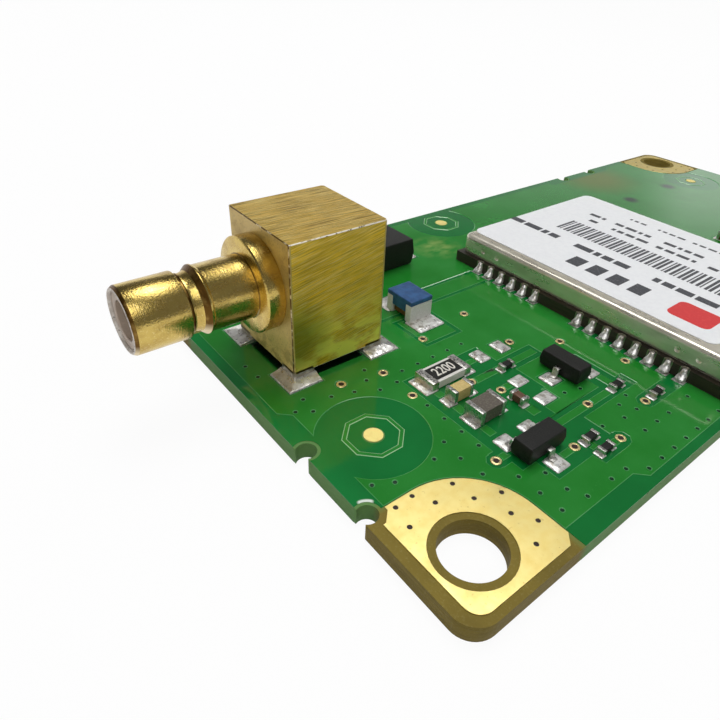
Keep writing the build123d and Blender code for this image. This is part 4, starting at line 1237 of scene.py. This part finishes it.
# Floor, backdrop and light: a white table and a pale skyline with one darker gap behind the board,
# a soft box high up and a wide lamp. The room above and behind the camera is darker, as metal and
# lacquer show.
floor_gap = 0.02
bpy.ops.mesh.primitive_plane_add(size=3, location=(0, 0, board_low.z - floor_gap * mm))
floor = bpy.context.object
floor.name = "table_top"
floor_white = new_finish("table_white", (0.82, 0.82, 0.82), 0.6)
floor_shader = floor_white.node_tree.nodes["Principled BSDF"]
rays = add_node(floor_white, "LightPath", {})
seen = combine(floor_white, "MAXIMUM", rays.outputs["Is Camera Ray"], rays.outputs["Is Glossy Ray"])
seen = combine(floor_white, "MAXIMUM", seen, rays.outputs["Is Transmission Ray"])
glow = add_node(floor_white, "Emission", {"Color": (1, 1, 1, 1), "Strength": 1.0})
glow_share = spread(floor_white, seen, 0, 1, 0, 0.94)
shaders = {"Fac": glow_share, 1: floor_shader.outputs["BSDF"], 2: glow.outputs["Emission"]}
blend = add_node(floor_white, "MixShader", shaders)
output = floor_white.node_tree.nodes["Material Output"]
floor_white.node_tree.links.new(blend.outputs["Shader"], output.inputs["Surface"])
floor.data.materials.append(floor_white)

room = bpy.data.worlds.new("white_room")
bpy.context.scene.world = room
room.use_nodes = True
sky = room.node_tree.nodes["Background"]
sky.inputs["Color"].default_value = (1, 1, 1, 1)
view_from = add_node(room, "TexCoord", {}).outputs["Generated"]


def sky_light(direction, low, high, strength):
    """Light that fades in between two cosines of the angle to a direction."""
    facing = add_node(room, "VectorMath", {0: view_from, 1: direction}, operation="DOT_PRODUCT")
    facing = facing.outputs["Value"]
    inputs = {"Value": facing, "From Min": low, "From Max": high, "To Max": strength}
    return add_node(room, "MapRange", inputs, interpolation_type="SMOOTHSTEP").outputs["Result"]


lit = sky_light((0, -1, 0), -0.3, 0.6, 0.12)
low_sky = sky_light((0, 0, 1), 0.42, 0.27, 0.9)
ahead = sky_light((0.6, 0.8, 0), -0.2, 0.4, 1.0)
skyline = combine(room, "MULTIPLY", low_sky, ahead)
soft_box = sky_light((0.22, 0.262, 0.94), 0.951, 0.99, 5.0)
overhead = sky_light((0.25, 0.03, 0.968), 0.94, 0.99, 1.6)
behind_camera = sky_light((-0.44, -0.49, 0.752), 0.90, 0.96, 2.0)
gap = sky_light((0.78, 0.55, 0.30), 0.975, 0.992, 0.58)
skyline = combine(room, "MULTIPLY", skyline, combine(room, "SUBTRACT", 1, gap))
for source in (skyline, soft_box, overhead, behind_camera, 0.09):
    lit = combine(room, "ADD", lit, source)
camera_ray = add_node(room, "LightPath", {}).outputs["Is Camera Ray"]
seen_sky = add_node(room, "Mix", {"Factor": camera_ray, "A": lit, "B": 1.0}, data_type="FLOAT")
room.node_tree.links.new(seen_sky.outputs["Result"], sky.inputs["Strength"])


def soft_lamp(name, spot, aim, size, power):
    """A square lamp of that size in metres, turned towards a point, too soft to show in gloss."""
    bpy.ops.object.light_add(type="AREA", location=spot)
    lamp = bpy.context.object
    lamp.name = name
    lamp.data.size = size
    lamp.data.energy = power
    lamp.rotation_euler = (Vector(aim) - Vector(spot)).to_track_quat("-Z", "Y").to_euler()
    lamp.visible_glossy = False


soft_lamp("lamp_above", (0.05, 0.08, 0.22), (-0.015, 0, 0), 0.2, 0.20)

# Camera: close to the near left corner and turned a little, looking down along the board. Its lens
# is shifted to one side.
bpy.ops.object.camera_add(
    location=place(-10.872, -6.308, 22.091),
    rotation=(math.radians(55.1135), math.radians(-3.3473), math.radians(-39.6383)),
)
camera = bpy.context.object
camera.data.sensor_width = 36
camera.data.lens = 29.585
camera.data.shift_x = -0.04342
camera.data.shift_y = -0.01202
camera.data.clip_start = 0.001
bpy.context.scene.camera = camera
bpy.context.scene.view_settings.view_transform = "Standard"
